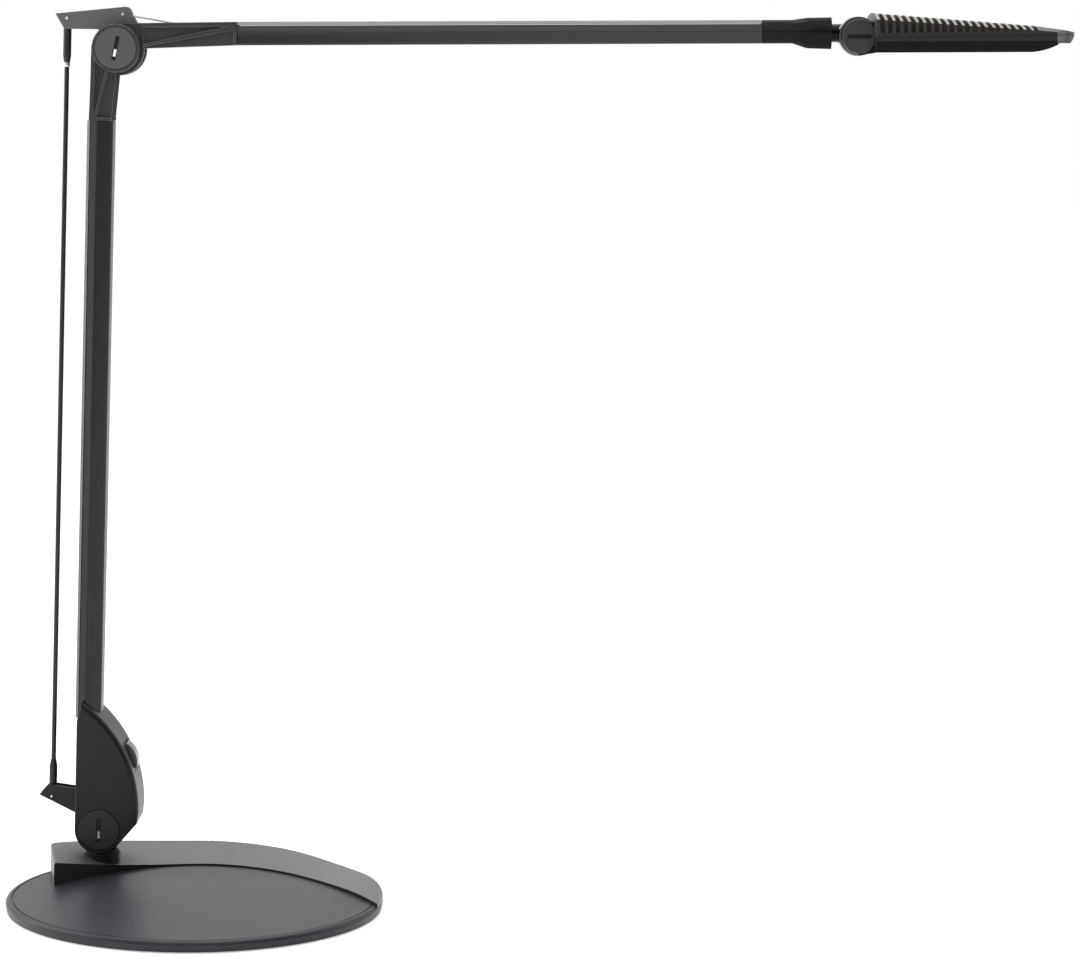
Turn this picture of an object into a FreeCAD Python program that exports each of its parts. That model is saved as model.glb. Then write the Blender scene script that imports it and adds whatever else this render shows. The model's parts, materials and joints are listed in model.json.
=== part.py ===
import FreeCAD, Part
import math
import os

# Spring-balanced LED desk lamp with two arms, a parallelogram rod and a finned head.
# Millimetres. X runs along the reach, Y away from the viewer, Z up.
# The origin is the centre of the base, on the surface that the lamp stands on.

V = FreeCAD.Vector

# Clearances
running_clearance = 0.05
seat_clearance = 0.1
moving_gap = 0.5
cap_gap = 0.3
open_pivot_gap = 0.35

# Base plate and what it holds
base_radius = 117.0
rim_lift = 0.6
rim_rise = 1.0
rim_draft = 0.8
bead_width = 3.6
bead_drop = 3.0
groove_width = 0.9
groove_depth = 0.8
dome_rise = 2.6
skirt_wall = 2.4
pad_thickness = 1.2
pad_margin = 5.0
bottom_cover_thickness = 1.0
weight_thickness = 2.8
ledge_thickness = 1.2

# Crescent deck
deck_end_inset = 27.0
deck_depth = 42.5
deck_sweep = 59.5
deck_end_angle = 10.4
deck_end_round = 9.0
deck_lip = 2.7
deck_front_rise = 13.0
deck_front_flat = 16.0
deck_back_lift = 8.8
deck_back_rise = 7.4
deck_back_fall = 6.0
deck_back_crest = -10.0
deck_back_right_inset = 35.0
deck_wall = 2.5
deck_front_wall = 4.0
deck_stations = 12

# Screws under the base and the grommet in the rear wall
base_screw_radius = 1.6
base_screw_head = 3.2
base_screw_reach = 4.0
base_screw_boss = 4.5
base_screw_inset = 17.0
base_screw_angles = (52.0, 90.0, 124.0)
grommet_bore = 2.6
grommet_wall = 1.0
grommet_flange = 1.2
grommet_flange_thickness = 1.2
grommet_length = 6.0
grommet_height = 4.4

# Swivel
swivel_inset = 51.9
arm_plane_inset = 57.0
pedestal_radius = 11.5
pedestal_rise = 14.4
spigot_radius = 7.0
bush_wall = 2.0
bush_flange = 0.6
bush_flange_width = 1.8
bush_length = 9.6
ring_width = 2.6
ring_thickness = 1.4
spigot_tail = 0.8
collar_radius = 10.2
collar_thickness = 1.0
collar_gap = 1.0

# Hinge lug and folded brackets
lug_half = 3.0
lug_radius = 12.0
lug_neck = 9.0
sheet = 1.5
bracket_hub = 11.0
rod_pin_back = 31.6
rod_pin_rise = 18.2
anchor_ahead = 3.0
anchor_rise = 20.8
anchor_lobe = 4.4
rivet_radius = 1.2
rivet_head_radius = 2.0
rivet_head = 0.5
bracket_web_start = 4.0
lower_tip = (8.2, 1.0)
lower_top = (2.0, 7.8)
lower_heel = (16.5, 7.6)
lower_chin = 8.0
elbow_tip = (7.2, 2.6)
elbow_low = (1.7, 6.8)
elbow_crest = 4.6
elbow_shoulder = (4.9, 1.9)
elbow_corner = (3.7, 3.9)
elbow_nose = (8.8, 5.6)

# Arms
arm_lean = 1.18
arm_tilt = 1.04
lower_arm_length = 492.4
upper_arm_length = 459.6
head_axis_height = 5.6
lower_outer = 17.6
lower_width = 16.1
upper_outer = 15.9
upper_width = 14.5
tube_wall = 1.6
strip_depth = 2.1
strip_gap = 0.3
edge_depth = 6.9
front_bevel = 2.0
strip_half = 8.5
shoulder_half = 11.5
edge_half = 14.0
front_half = 9.5
nose_half = 7.0
spigot_length = 24.0

# Lower hinge housing
housing_half = 20.0
housing_wall = 2.2
housing_round = 15.4
housing_notch = 69.8
housing_apex_u = 12.3
housing_apex_s = 81.6
housing_front_u = 24.7
housing_front_s = 12.0
housing_chin_u = 23.9
housing_chin_s = 4.6
housing_bulge = 9.8
housing_edge_round = 1.0
housing_front_round = 3.6
slot_half = 6.0
slot_top = 34.0
slot_front = 17.5
hub_radius = 14.6
friction_washer = 0.8
tube_foot = 45.0
plug_length = 12.0
plug_bore = 1.2
screw_radius = 1.4
screw_boss = 3.2
screw_head_radius = 2.7
screw_head = 1.6
screw_front = (18.0, 13.0)
screw_upper = (2.0, 58.5)
screw_rear = (-11.0, 39.8)

# Pivot hardware
bolt_radius = 4.0
cap_radius = 13.0
cap_depth = 2.4
cap_proud = 0.4
cap_edge_round = 0.5
coin_slot_width = 2.6
coin_slot_length = 15.0
coin_slot_depth = 1.4
elbow_slot_angle = 10.0

# Push button and its board
button_height = 45.7
button_half_length = 8.3
button_half_width = 6.3
button_proud = 3.6
button_dome = 16.0
button_gap = 0.3
button_flange = 1.5
button_flange_thickness = 1.2
button_flange_drop = 0.9
button_recess = 0.9
button_recess_margin = 1.5
button_travel = 1.2
button_stem = 1.5
board_depth = 12.6
board_thickness = 1.6
board_half_length = 12.0
switch_half = 3.0
switch_height = 4.0

# Elbow
clevis_length = 45.2
clevis_half = 14.2
clevis_inset = 1.6
cheek_radius = 14.9
cheek_inner = 9.6
cheek_outer = 16.4
cheek_recess = 2.0
elbow_cap_radius = 12.8
elbow_cap_proud = 0.5
drum_radius = 17.2
drum_shift = 0.7
drum_outer = 9.2
elbow_washer_radius = 12.0
elbow_spacer_radius = 6.5
bracket_clear = 26.5
clevis_waist = 0.2
clevis_rim = 2.4
clevis_rib_top = 4.0
clevis_rib_low = 12.0
pocket_depth = 2.6
pocket_margin = 2.0
rib_half = 0.8
fitting_rim = 2.5
fitting_rib_low = 1.4
fitting_rib_high = 11.4
fitting_under = 0.4
fitting_length = 74.7
fitting_half = 13.0
fitting_start = 16.4
fitting_top = 15.4
cable_slot_start = 28.0
cable_slot_end = 37.5
cable_slot_depth = 3.0

# Balance springs and cables
spring_radius = 3.6
spring_wire = 1.1
spring_start = 130.0
spring_anchor_back = 96.0
spring_anchor_radius = 1.5
spring_anchor_half = 8.6
cable_radius = 0.6
cable_bore = 1.0
cable_entry_s = 36.0
cable_entry_depth = 0.9

# Parallelogram rod
rod_radius = 1.5
sleeve_radius = 2.5
sleeve_length = 18.5
upper_sleeve_length = 23.5
sleeve_taper = 4.5
sleeve_tip = 1.8

# Arm end sleeve and head yoke
end_length = 59.6
sleeve_gap = 16.6
flare_start = 24.0
flare_knee = 15.0
flare_share = 0.85
flare_up = 1.5
flare_down = 3.6
flare_side = 1.0
roll_axis_height = 7.7
roll_radius = 3.6
roll_bore_length = 18.5
roll_ring_radius = 5.2
roll_ring = 2.0
roll_tail = 1.0
roll_pocket = 7.5
neck_radius = 5.6
yoke_radius = 12.2
yoke_half = 9.0
hinge_pin_radius = 3.0
head_washer = 0.4
head_washer_radius = 8.8

# Head
head_rear = 9.0
head_length = 134.9
head_half = 37.0
head_tip_half = 31.0
head_tip_start = 120.4
head_tip_bow = 8.0
head_tip_share = 0.6
head_bottom = 9.9
head_seam_rear = 0.9
head_seam_tip = -0.3
seam_gap = 0.5
keel_end = 105.0
keel_via = 115.0
keel_sag = 2.0
keel_rise = 122.5
tip_under = 4.6
tip_edge = 3.6
tip_slant = 4.0
shell_wall = 2.6
shell_floor = 2.4
cheek_half = 15.0
head_cheek_radius = 10.0
head_cap_radius = 10.5
head_cap = 2.0
head_slot_length = 14.5
chin_depth = 11.8
sink_base = 2.4
crest_rear = 14.5
crest_end = 6.3
crest_end_x = 108.0
crest_fall = 4.2
fin_count = 21
fin_pitch = 4.75
fin_slot = 2.9
fin_start = 11.0
window_start = 22.0
window_end = 103.0
window_half = 24.0
lens_lip = 2.0
lens_thickness = 1.2
led_board_thickness = 1.6
led_rows = 3
led_columns = 8
led_size = 5.0
led_height = 0.9
head_screw_radius = 1.2
head_screw_boss = 3.0
head_screw_head = 2.2
head_screw_head_height = 1.2
head_screw_inset = 2.0
head_screw_reach = 1.6

# Levels and places worked out from the sizes
deck_left = base_radius - deck_end_inset
deck_apex = base_radius - deck_depth
deck_back_right = base_radius - deck_back_right_inset
swivel_x = swivel_inset - base_radius
arm_plane = base_radius - arm_plane_inset
cover_top = pad_thickness + bottom_cover_thickness
weight_top = cover_top + weight_thickness
deck_seat = weight_top + ledge_thickness
rim_height = deck_seat + rim_rise
pedestal_top = deck_seat + pedestal_rise
bush_top = pedestal_top + bush_flange
collar_top = bush_top + collar_thickness
pivot_height = collar_top + collar_gap + housing_round
bush_bottom = bush_top - bush_flange - bush_length
bracket_half = lug_half + sheet
hub_face = bracket_half + friction_washer
cap_seat = housing_half - cap_depth
elbow_cap_seat = cheek_outer - cheek_recess
drum_inner = bracket_half + rivet_head + moving_gap
lower_tube_end = lower_arm_length - clevis_length
upper_tube_end = upper_arm_length - end_length
sleeve_end = upper_arm_length - sleeve_gap
lean = math.radians(arm_lean)
tilt = math.radians(arm_tilt)
lower_pivot = V(swivel_x, arm_plane, pivot_height)
elbow = lower_pivot + V(math.sin(lean), 0, math.cos(lean)) * lower_arm_length
head_pivot = elbow + V(
    upper_arm_length * math.cos(tilt) - head_axis_height * math.sin(tilt),
    0,
    upper_arm_length * math.sin(tilt) + head_axis_height * math.cos(tilt),
)
rod_pin = V(-rod_pin_back, 0, rod_pin_rise)
roll_rise = roll_axis_height - head_axis_height


# Drawing helpers

def side(a, b):
    """A point of a drawing in the upright plane of the arms."""
    return V(a, 0, b)


def plan(a, b):
    """A point of a drawing seen from above."""
    return V(a, b, 0)


def outline(plane, start, *steps):
    """A face bounded by straight steps (x, y) and arcs (via x, via y, x, y)."""
    edges = []
    here = start
    for step in steps:
        there = step[-2:]
        if len(step) == 4:
            edges.append(Part.Arc(plane(*here), plane(*step[:2]), plane(*there)).toShape())
        else:
            edges.append(Part.LineSegment(plane(*here), plane(*there)).toShape())
        here = there
    if here != start:
        edges.append(Part.LineSegment(plane(*here), plane(*start)).toShape())
    return Part.Face(Part.Wire(edges))


def across(face, y_from, y_to):
    """A side drawing made solid between two distances from the arm plane."""
    moved = face.translated(V(0, y_from, 0))
    return moved.extrude(V(0, y_to - y_from, 0))


def disc(radius, y_from, y_to, x=0.0, z=0.0):
    """A round piece whose axis lies across the arm plane."""
    return Part.makeCylinder(radius, y_to - y_from, V(x, y_from, z), V(0, 1, 0))


def washer(outer, inner, y_from, y_to):
    """A flat ring around a pivot."""
    return disc(outer, y_from, y_to).cut(disc(inner, y_from, y_to))


def post(radius, z_from, z_to, x=0.0, y=0.0):
    """An upright round piece."""
    return Part.makeCylinder(radius, z_to - z_from, V(x, y, z_from))


def block(x_from, x_to, y_half, z_from, z_to):
    """A box that is symmetric about the arm plane."""
    return Part.makeBox(x_to - x_from, 2 * y_half, z_to - z_from, V(x_from, -y_half, z_from))


def stick(radius, start, end):
    """A round bar from one point to another."""
    return Part.makeCylinder(radius, (end - start).Length, start, end - start)


def mirrored(shape):
    """The same piece on the other side of the arm plane."""
    return shape.mirror(V(0, 0, 0), V(0, 1, 0))


def pair(shape):
    """A piece and its twin as two separate solids."""
    return Part.makeCompound([shape, mirrored(shape)])


def placed(shape, angle, origin):
    """A piece turned about the axis across the arms and moved to its pivot."""
    turned = shape.copy()
    turned.rotate(V(0, 0, 0), V(0, 1, 0), angle)
    turned.translate(origin)
    return turned


def on_turret(shape):
    return placed(shape, 0, lower_pivot)


def on_lower_arm(shape):
    return placed(shape, arm_lean, lower_pivot)


def on_rod(shape):
    return placed(shape, arm_lean, lower_pivot + rod_pin)


def on_elbow_bracket(shape):
    return placed(shape, 0, elbow)


def on_upper_arm(shape):
    return placed(shape, 90 - arm_tilt, elbow)


def on_head(shape):
    return placed(shape, -arm_tilt, head_pivot)


def save(name, shape):
    """Write one named piece, or one group of like pieces."""
    shape.exportStep("parts/" + name + ".step")


# Base

def base_plate():
    inner = base_radius - bead_width
    flat = inner - groove_width
    skirt = base_radius - rim_draft - skirt_wall
    profile = outline(
        side,
        (0, weight_top),
        (skirt, weight_top),
        (skirt, rim_lift),
        (base_radius - rim_draft, rim_lift),
        (base_radius, rim_height - bead_drop),
        (inner + 0.75 * bead_width, rim_height - 0.25 * bead_drop, inner, rim_height),
        (inner, rim_height - groove_depth),
        (flat, rim_height - groove_depth),
        (flat, rim_height),
        (flat / 2, dome_height(flat, flat / 2), 0, dome_height(flat, 0)),
    )
    plate = profile.revolve(V(0, 0, 0), V(0, 0, 1), 360)
    plate = plate.cut(deck_blank(0, deck_seat, rim_height + dome_rise + 1))
    for x, y in base_screw_places():
        plate = plate.cut(post(base_screw_radius + seat_clearance, weight_top, deck_seat, x, y))
    return plate


def dome_height(edge, radius):
    """Height of the plate's spherical top at a distance from its centre."""
    ball = (edge ** 2 + dome_rise ** 2) / (2 * dome_rise)
    return rim_height + dome_rise - ball + math.sqrt(ball ** 2 - radius ** 2)


def base_screw_places():
    places = []
    screw_circle = base_radius - base_screw_inset
    for angle in base_screw_angles:
        turn = math.radians(angle)
        places.append((screw_circle * math.cos(turn), screw_circle * math.sin(turn)))
    return places


def base_weight():
    weight = post(base_radius - rim_draft - skirt_wall - seat_clearance, cover_top, weight_top)
    for x, y in base_screw_places():
        weight = weight.cut(post(base_screw_radius + seat_clearance, cover_top, weight_top, x, y))
    return weight


def base_bottom_cover():
    cover = post(base_radius - rim_draft - skirt_wall - seat_clearance, pad_thickness, cover_top)
    for x, y in base_screw_places():
        cover = cover.cut(post(base_screw_head + seat_clearance, pad_thickness, cover_top, x, y))
    return cover


def base_pad():
    return post(base_radius - pad_margin, 0, pad_thickness)


def base_screws():
    screws = []
    for x, y in base_screw_places():
        head = post(base_screw_head, pad_thickness, cover_top, x, y)
        shank = post(base_screw_radius, cover_top, deck_seat + base_screw_reach, x, y)
        screws.append(head.fuse(shank).removeSplitter())
    return Part.makeCompound(screws)


def deck_front(x):
    """How far back the deck's front wall stands, a parabola across the plate."""
    return deck_apex - deck_sweep * (x / deck_left) ** 2


def deck_blank(inset, z_from, z_to):
    """The crescent seen from above, drawn in by an inset, as an upright block."""
    reach = 2 * base_radius
    left = -reach
    right = reach
    shift = inset * deck_front_wall / deck_wall
    low = deck_front(reach) + shift
    middle = deck_apex + deck_sweep * (reach / deck_left) ** 2 + shift
    wall = Part.BezierCurve()
    wall.setPoles([V(left, low, z_from), V(0, middle, z_from), V(right, low, z_from)])
    rear = deck_apex + reach
    corners = [V(right, low, z_from), V(right, rear, z_from), V(left, rear, z_from), V(left, low, z_from)]
    edges = [wall.toShape()]
    edges += [Part.LineSegment(a, b).toShape() for a, b in zip(corners, corners[1:])]
    behind = Part.Face(Part.Wire(edges)).extrude(V(0, 0, z_to - z_from))
    crescent = post(base_radius - inset, z_from, z_to).common(behind)
    slant = math.tan(math.radians(deck_end_angle))
    end_x = inset - deck_left
    end_y = deck_front(-deck_left)
    end = outline(
        plan,
        (end_x + slant * reach, end_y - reach),
        (reach, end_y - reach),
        (reach, end_y + reach),
        (end_x - slant * reach, end_y + reach),
    )
    crescent = crescent.common(end.translated(V(0, 0, z_from)).extrude(V(0, 0, z_to - z_from)))
    corner = [e for e in crescent.Edges if is_rear_corner(e)]
    return crescent.makeFillet(deck_end_round - inset, corner)


def is_rear_corner(edge):
    """True for the upright edge where the deck's left end meets the rim."""
    box = edge.BoundBox
    upright = box.XLength < seat_clearance and box.YLength < seat_clearance
    return upright and box.XMax < seat_clearance - deck_left and box.YMin > deck_apex - deck_sweep + deck_wall


def deck_heights(x):
    """Height of the deck's top at its front wall and at the rim."""
    ramp = max(0.0, -deck_front_flat - x) / (deck_left - deck_front_flat)
    front = rim_height + deck_lip + deck_front_rise * ramp ** 2
    if x < deck_back_crest:
        climb = (deck_back_crest - x) / (deck_left + deck_back_crest)
        back = deck_back_lift + deck_back_rise * climb ** 2
    else:
        fall = (x - deck_back_crest) / (deck_back_right - deck_back_crest)
        back = max(deck_lip, deck_back_lift - deck_back_fall * fall ** 2)
    return front, rim_height + back


def under_deck_top(drop):
    """Everything below the deck's sloping top, lowered by a drop."""
    low = -base_radius
    sections = []
    for station in range(deck_stations + 1):
        x = base_radius * (2.1 * station / deck_stations - 1.05)
        front, back = deck_heights(x)
        front_y = deck_front(x)
        back_y = math.sqrt(max(0.0, base_radius ** 2 - x ** 2))
        slope = (back - front) / (back_y - front_y)
        y_near = deck_front(base_radius) - base_radius / 4
        y_far = 1.1 * base_radius
        z_near = front + slope * (y_near - front_y) - drop
        z_far = front + slope * (y_far - front_y) - drop
        corners = [V(x, y_near, low), V(x, y_far, low), V(x, y_far, z_far), V(x, y_near, z_near)]
        sections.append(Part.makePolygon(corners + corners[:1]))
    return Part.makeLoft(sections, True, False)


def base_deck():
    tall = rim_height + deck_back_lift + deck_back_rise + deck_front_rise
    deck = deck_blank(0, deck_seat, tall).common(under_deck_top(0))
    hollow = deck_blank(deck_wall, deck_seat, tall).common(under_deck_top(deck_wall))
    deck = deck.cut(hollow)
    pedestal = post(pedestal_radius, deck_seat, pedestal_top, swivel_x, arm_plane)
    deck = deck.fuse(pedestal)
    for x, y in base_screw_places():
        boss = post(base_screw_boss, deck_seat, tall, x, y).common(under_deck_top(deck_wall / 2))
        deck = deck.fuse(boss)
    for x, y in base_screw_places():
        deck = deck.cut(post(base_screw_radius, deck_seat, deck_seat + base_screw_reach, x, y))
    bush = spigot_radius + running_clearance + bush_wall
    ring = spigot_radius + ring_width + moving_gap
    deck = deck.cut(post(bush, bush_bottom, pedestal_top, swivel_x, arm_plane))
    deck = deck.cut(post(ring, deck_seat, bush_bottom, swivel_x, arm_plane))
    above = post(pedestal_radius + moving_gap, pedestal_top, tall + deck_wall, swivel_x, arm_plane)
    deck = deck.cut(above)
    inside = base_radius - grommet_length
    deck = deck.cut(disc(grommet_bore + grommet_wall, inside, 1.1 * base_radius, 0, grommet_z()))
    return deck.removeSplitter()


def grommet_z():
    return deck_seat + grommet_height


def cable_grommet():
    z = grommet_z()
    outer = grommet_bore + grommet_wall
    inside = base_radius - grommet_length
    face = base_radius + grommet_flange_thickness
    body = disc(outer, inside, face, 0, z)
    body = body.fuse(disc(outer + grommet_flange, base_radius, face, 0, z))
    return body.cut(disc(grommet_bore, inside, face, 0, z)).removeSplitter()


def swivel_bush():
    inner = spigot_radius + running_clearance
    outer = inner + bush_wall
    bush = post(outer, bush_bottom, bush_top, swivel_x, arm_plane)
    bush = bush.fuse(post(outer + bush_flange_width, pedestal_top, bush_top, swivel_x, arm_plane))
    return bush.cut(post(inner, bush_bottom, bush_top, swivel_x, arm_plane)).removeSplitter()


# Turret

def swivel_post():
    floor = bush_bottom - ring_thickness - spigot_tail
    spigot = post(spigot_radius, floor, bush_top, swivel_x, arm_plane)
    collar = post(collar_radius, bush_top, collar_top, swivel_x, arm_plane)
    neck = block(-lug_neck, lug_neck, lug_half, collar_top - pivot_height, 0)
    lug = disc(lug_radius, -lug_half, lug_half).fuse(neck)
    lug = lug.cut(disc(bolt_radius + running_clearance, -lug_half, lug_half))
    return spigot.fuse(collar).fuse(on_turret(lug)).removeSplitter()


def swivel_ring():
    outer = spigot_radius + ring_width
    ring = post(outer, bush_bottom - ring_thickness, bush_bottom, swivel_x, arm_plane)
    return ring.cut(post(spigot_radius, bush_bottom - ring_thickness, bush_bottom, swivel_x, arm_plane))


def bracket(wall_face, web_face):
    """A folded channel: two walls beside the lug and a web between them."""
    wall = across(wall_face, lug_half, bracket_half)
    wall = wall.fuse(disc(bracket_hub, lug_half, bracket_half))
    wall = wall.fuse(disc(anchor_lobe, lug_half, bracket_half, anchor_ahead, anchor_rise))
    wall = wall.cut(disc(bolt_radius + running_clearance, lug_half, bracket_half))
    wall = wall.cut(disc(rivet_radius, lug_half, bracket_half, -rod_pin_back, rod_pin_rise))
    wall = wall.cut(disc(rivet_radius, lug_half, bracket_half, anchor_ahead, anchor_rise))
    channel = wall.fuse(mirrored(wall))
    return channel.fuse(across(web_face, -lug_half, lug_half)).removeSplitter()


def web_under_edge(start, end, depth):
    """A sheet-thick strip that lies on one side of a bracket's edge."""
    along = V(end[0] - start[0], 0, end[1] - start[1])
    along.normalize()
    off = V(-along.z, 0, along.x) * depth
    return outline(side, start, end, (end[0] + off.x, end[1] + off.z), (start[0] + off.x, start[1] + off.z))


def point_on(start, end, x):
    """The point of a straight edge at a given x."""
    share = (x - start[0]) / (end[0] - start[0])
    return (x, start[1] + share * (end[1] - start[1]))


def lower_bracket():
    tip = (-rod_pin_back - lower_tip[0], rod_pin_rise + lower_tip[1])
    top = (-rod_pin_back - lower_top[0], rod_pin_rise + lower_top[1])
    heel = (-lower_heel[0], lower_heel[1])
    front = (0.9 * bracket_hub, 0)
    wall = outline(side, tip, top, (anchor_ahead, anchor_rise), front, (0, -lower_chin), heel)
    web_start = point_on(tip, heel, -rod_pin_back + bracket_web_start)
    return bracket(wall, web_under_edge(web_start, heel, sheet))


def elbow_bracket():
    tip = (-rod_pin_back - elbow_tip[0], rod_pin_rise + elbow_tip[1])
    low = (-rod_pin_back - elbow_low[0], rod_pin_rise - elbow_low[1])
    crest = (anchor_ahead, anchor_rise + elbow_crest)
    shoulder = (anchor_ahead + elbow_shoulder[0], anchor_rise + elbow_shoulder[1])
    corner = (anchor_ahead + elbow_corner[0], anchor_rise + elbow_corner[1])
    wall = outline(
        side,
        tip,
        low,
        (-1.1 * bracket_hub, low[1]),
        (-0.8 * bracket_hub, 0),
        (0.8 * bracket_hub, 0),
        (anchor_ahead + elbow_nose[0], anchor_rise - elbow_nose[1]),
        shoulder,
        corner + crest,
    )
    web_start = point_on(tip, crest, -rod_pin_back + bracket_web_start)
    return bracket(wall, web_under_edge(web_start, crest, -sheet))


def bracket_rivets():
    """The rivet that the rod hangs on and the rivet that the cable hooks on."""
    rivets = []
    for x, z in ((-rod_pin_back, rod_pin_rise), (anchor_ahead, anchor_rise)):
        rivet = disc(rivet_radius, -bracket_half, bracket_half, x, z)
        for y in (-bracket_half - rivet_head, bracket_half):
            rivet = rivet.fuse(disc(rivet_head_radius, y, y + rivet_head, x, z))
        rivets.append(rivet.removeSplitter())
    return Part.makeCompound(rivets)


# Faceted arm tubes

def section(points, s_from, s_to):
    """A mirrored section of (depth, half width) points, made solid along the arm."""
    loop = points + [(u, -v) for u, v in reversed(points)]
    corners = [V(u, v, s_from) for u, v in loop]
    face = Part.Face(Part.makePolygon(corners + corners[:1]))
    return face, face.extrude(V(0, 0, s_to - s_from))


def tube_points(outer, width):
    back = strip_depth + strip_gap
    depths = (back, edge_depth, width - front_bevel, width)
    halves = (shoulder_half, edge_half, front_half, nose_half)
    return [(depth - outer, half) for depth, half in zip(depths, halves)]


def tube_core(outer, width, s_from, s_to, shrink):
    """The tube's section drawn in by a shrink, made solid along the arm."""
    face, solid = section(tube_points(outer, width), s_from, s_to)
    if shrink == 0:
        return solid
    return face.makeOffset2D(-shrink, 2).extrude(V(0, 0, s_to - s_from))


def arm_tube(outer, width, s_from, s_to):
    return tube_core(outer, width, s_from, s_to, 0).cut(tube_core(outer, width, s_from, s_to, tube_wall))


def cable_strip(outer, s_from, s_to):
    return section([(-outer, strip_half), (strip_depth - outer, shoulder_half)], s_from, s_to)[1]


def tube_spigot(outer, width, s_from, s_to):
    return tube_core(outer, width, s_from, s_to, tube_wall + seat_clearance)


def tube_axis(outer, width):
    """Where the middle of a tube's hollow lies across the arm."""
    return (strip_depth + strip_gap + width) / 2 - outer


def balance_spring(outer, width, tube_end):
    u = tube_axis(outer, width)
    end = tube_end - spring_anchor_back - spring_anchor_radius
    coil = post(spring_radius, spring_start, end, u)
    return coil.cut(post(spring_radius - spring_wire, spring_start, end, u))


def spring_anchor(outer, width, tube_end):
    u = tube_axis(outer, width)
    half = spring_anchor_half
    return disc(spring_anchor_radius, -half, half, u, tube_end - spring_anchor_back)


def cable(points):
    """A tight wire along straight runs, round where it turns."""
    wire = stick(cable_radius, points[0], points[1])
    for start, end in zip(points[1:], points[2:]):
        ball = Part.makeSphere(cable_radius, start)
        wire = wire.fuse(ball).fuse(stick(cable_radius, start, end))
    return wire.removeSplitter()


def beside_rivet(rivet, towards):
    """The point just off a rivet where a cable that runs towards a point begins."""
    run = towards - rivet
    run.normalize()
    return rivet + run * (rivet_radius + cable_radius)


# Lower hinge housing

def housing_arc():
    """Centre and radius of the housing's curved front."""
    top = side(-housing_apex_u, housing_apex_s)
    low = side(housing_front_u, housing_front_s)
    chord = low - top
    radius = (chord.Length ** 2 / 4 + housing_bulge ** 2) / (2 * housing_bulge)
    out = V(-chord.z, 0, chord.x)
    out.normalize()
    middle = (top + low) * 0.5
    return middle - out * (radius - housing_bulge), radius, middle + out * housing_bulge


def housing_face():
    crown = housing_arc()[2]
    chin = math.hypot(housing_chin_u, housing_chin_s)
    turn = math.atan2(housing_chin_s, housing_chin_u) - math.acos(housing_round / chin)
    under = (housing_round * math.cos(turn), housing_round * math.sin(turn))
    bottom = (turn - math.pi) / 2
    return outline(
        side,
        (-housing_round, 0),
        (-housing_round, housing_notch),
        (-housing_apex_u, housing_apex_s),
        (crown.x, crown.z, housing_front_u, housing_front_s),
        (housing_chin_u, housing_chin_s),
        under,
        (housing_round * math.cos(bottom), housing_round * math.sin(bottom), -housing_round, 0),
    )


def front_round():
    """A drum with rounded rims, as wide as the housing, that its curved front lies on."""
    centre, radius, _ = housing_arc()
    drum = disc(radius, -housing_half, housing_half, centre.x, centre.z)
    rims = [e for e in drum.Edges if e.BoundBox.YLength < housing_half]
    return drum.makeFillet(housing_front_round, rims)


def front_frame(shape):
    """Turn a piece drawn along X to point out of the housing's curved front."""
    centre, radius, _ = housing_arc()
    angle = math.degrees(math.asin((button_height - centre.z) / radius))
    return placed(shape, -angle, centre)


def housing_half_shell(near):
    """One moulded half, drawn on the near side; the far half has the screw heads."""
    face = housing_face()
    shell = across(face, -housing_half, 0)
    rim = [e for e in shell.Edges if e.BoundBox.YMax < -housing_half + housing_edge_round]
    shell = shell.makeFillet(housing_edge_round, rim)
    hollow = across(face.makeOffset2D(-housing_wall, 2), housing_wall - housing_half, 0)
    shell = shell.common(front_round()).cut(hollow)
    shell = shell.fuse(disc(hub_radius, -cap_seat, -hub_face))
    for u, s in (screw_front, screw_upper, screw_rear):
        boss = disc(screw_boss, -housing_half + housing_wall, 0, u, s)
        shell = shell.fuse(boss.common(across(face, -housing_half, 0)).common(front_round()))
    shell = shell.cut(disc(cap_radius + cap_gap, -housing_half, -cap_seat))
    shell = shell.cut(disc(bolt_radius + running_clearance, -cap_seat, -hub_face))
    reach = 2 * housing_round
    shell = shell.cut(block(-reach, slot_front, slot_half, -reach, slot_top))
    passage = tube_core(lower_outer, lower_width, tube_foot - seat_clearance, lower_tube_end, -seat_clearance)
    shell = shell.cut(passage)
    shell = shell.cut(front_frame(button_opening()))
    for u, s in (screw_front, screw_upper, screw_rear):
        shell = shell.cut(disc(screw_radius, screw_depth(near), 0, u, s))
        if not near:
            shell = shell.cut(disc(screw_head_radius, -housing_half, screw_head - housing_half, u, s))
    return shell.removeSplitter()


def screw_depth(near):
    return -housing_half + 2 * housing_wall if near else -housing_half


def housing_screws():
    screws = []
    for u, s in (screw_front, screw_upper, screw_rear):
        shank = disc(screw_radius, screw_depth(True), housing_half - screw_head, u, s)
        head = disc(screw_head_radius, housing_half - screw_head, housing_half - screw_head / 4, u, s)
        screws.append(shank.fuse(head).removeSplitter())
    return Part.makeCompound(screws)


def button_opening():
    """The shaft that the button slides in, with a shallow recess around it."""
    radius = housing_arc()[1]
    length = button_half_length + button_gap
    width = button_half_width + button_gap
    shaft = block(radius - 2 * housing_wall, radius + button_proud, width, -length, length)
    wide = width + button_recess_margin
    long = length + button_recess_margin
    return shaft.fuse(block(radius - button_recess, radius + button_proud, wide, -long, long))


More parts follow.
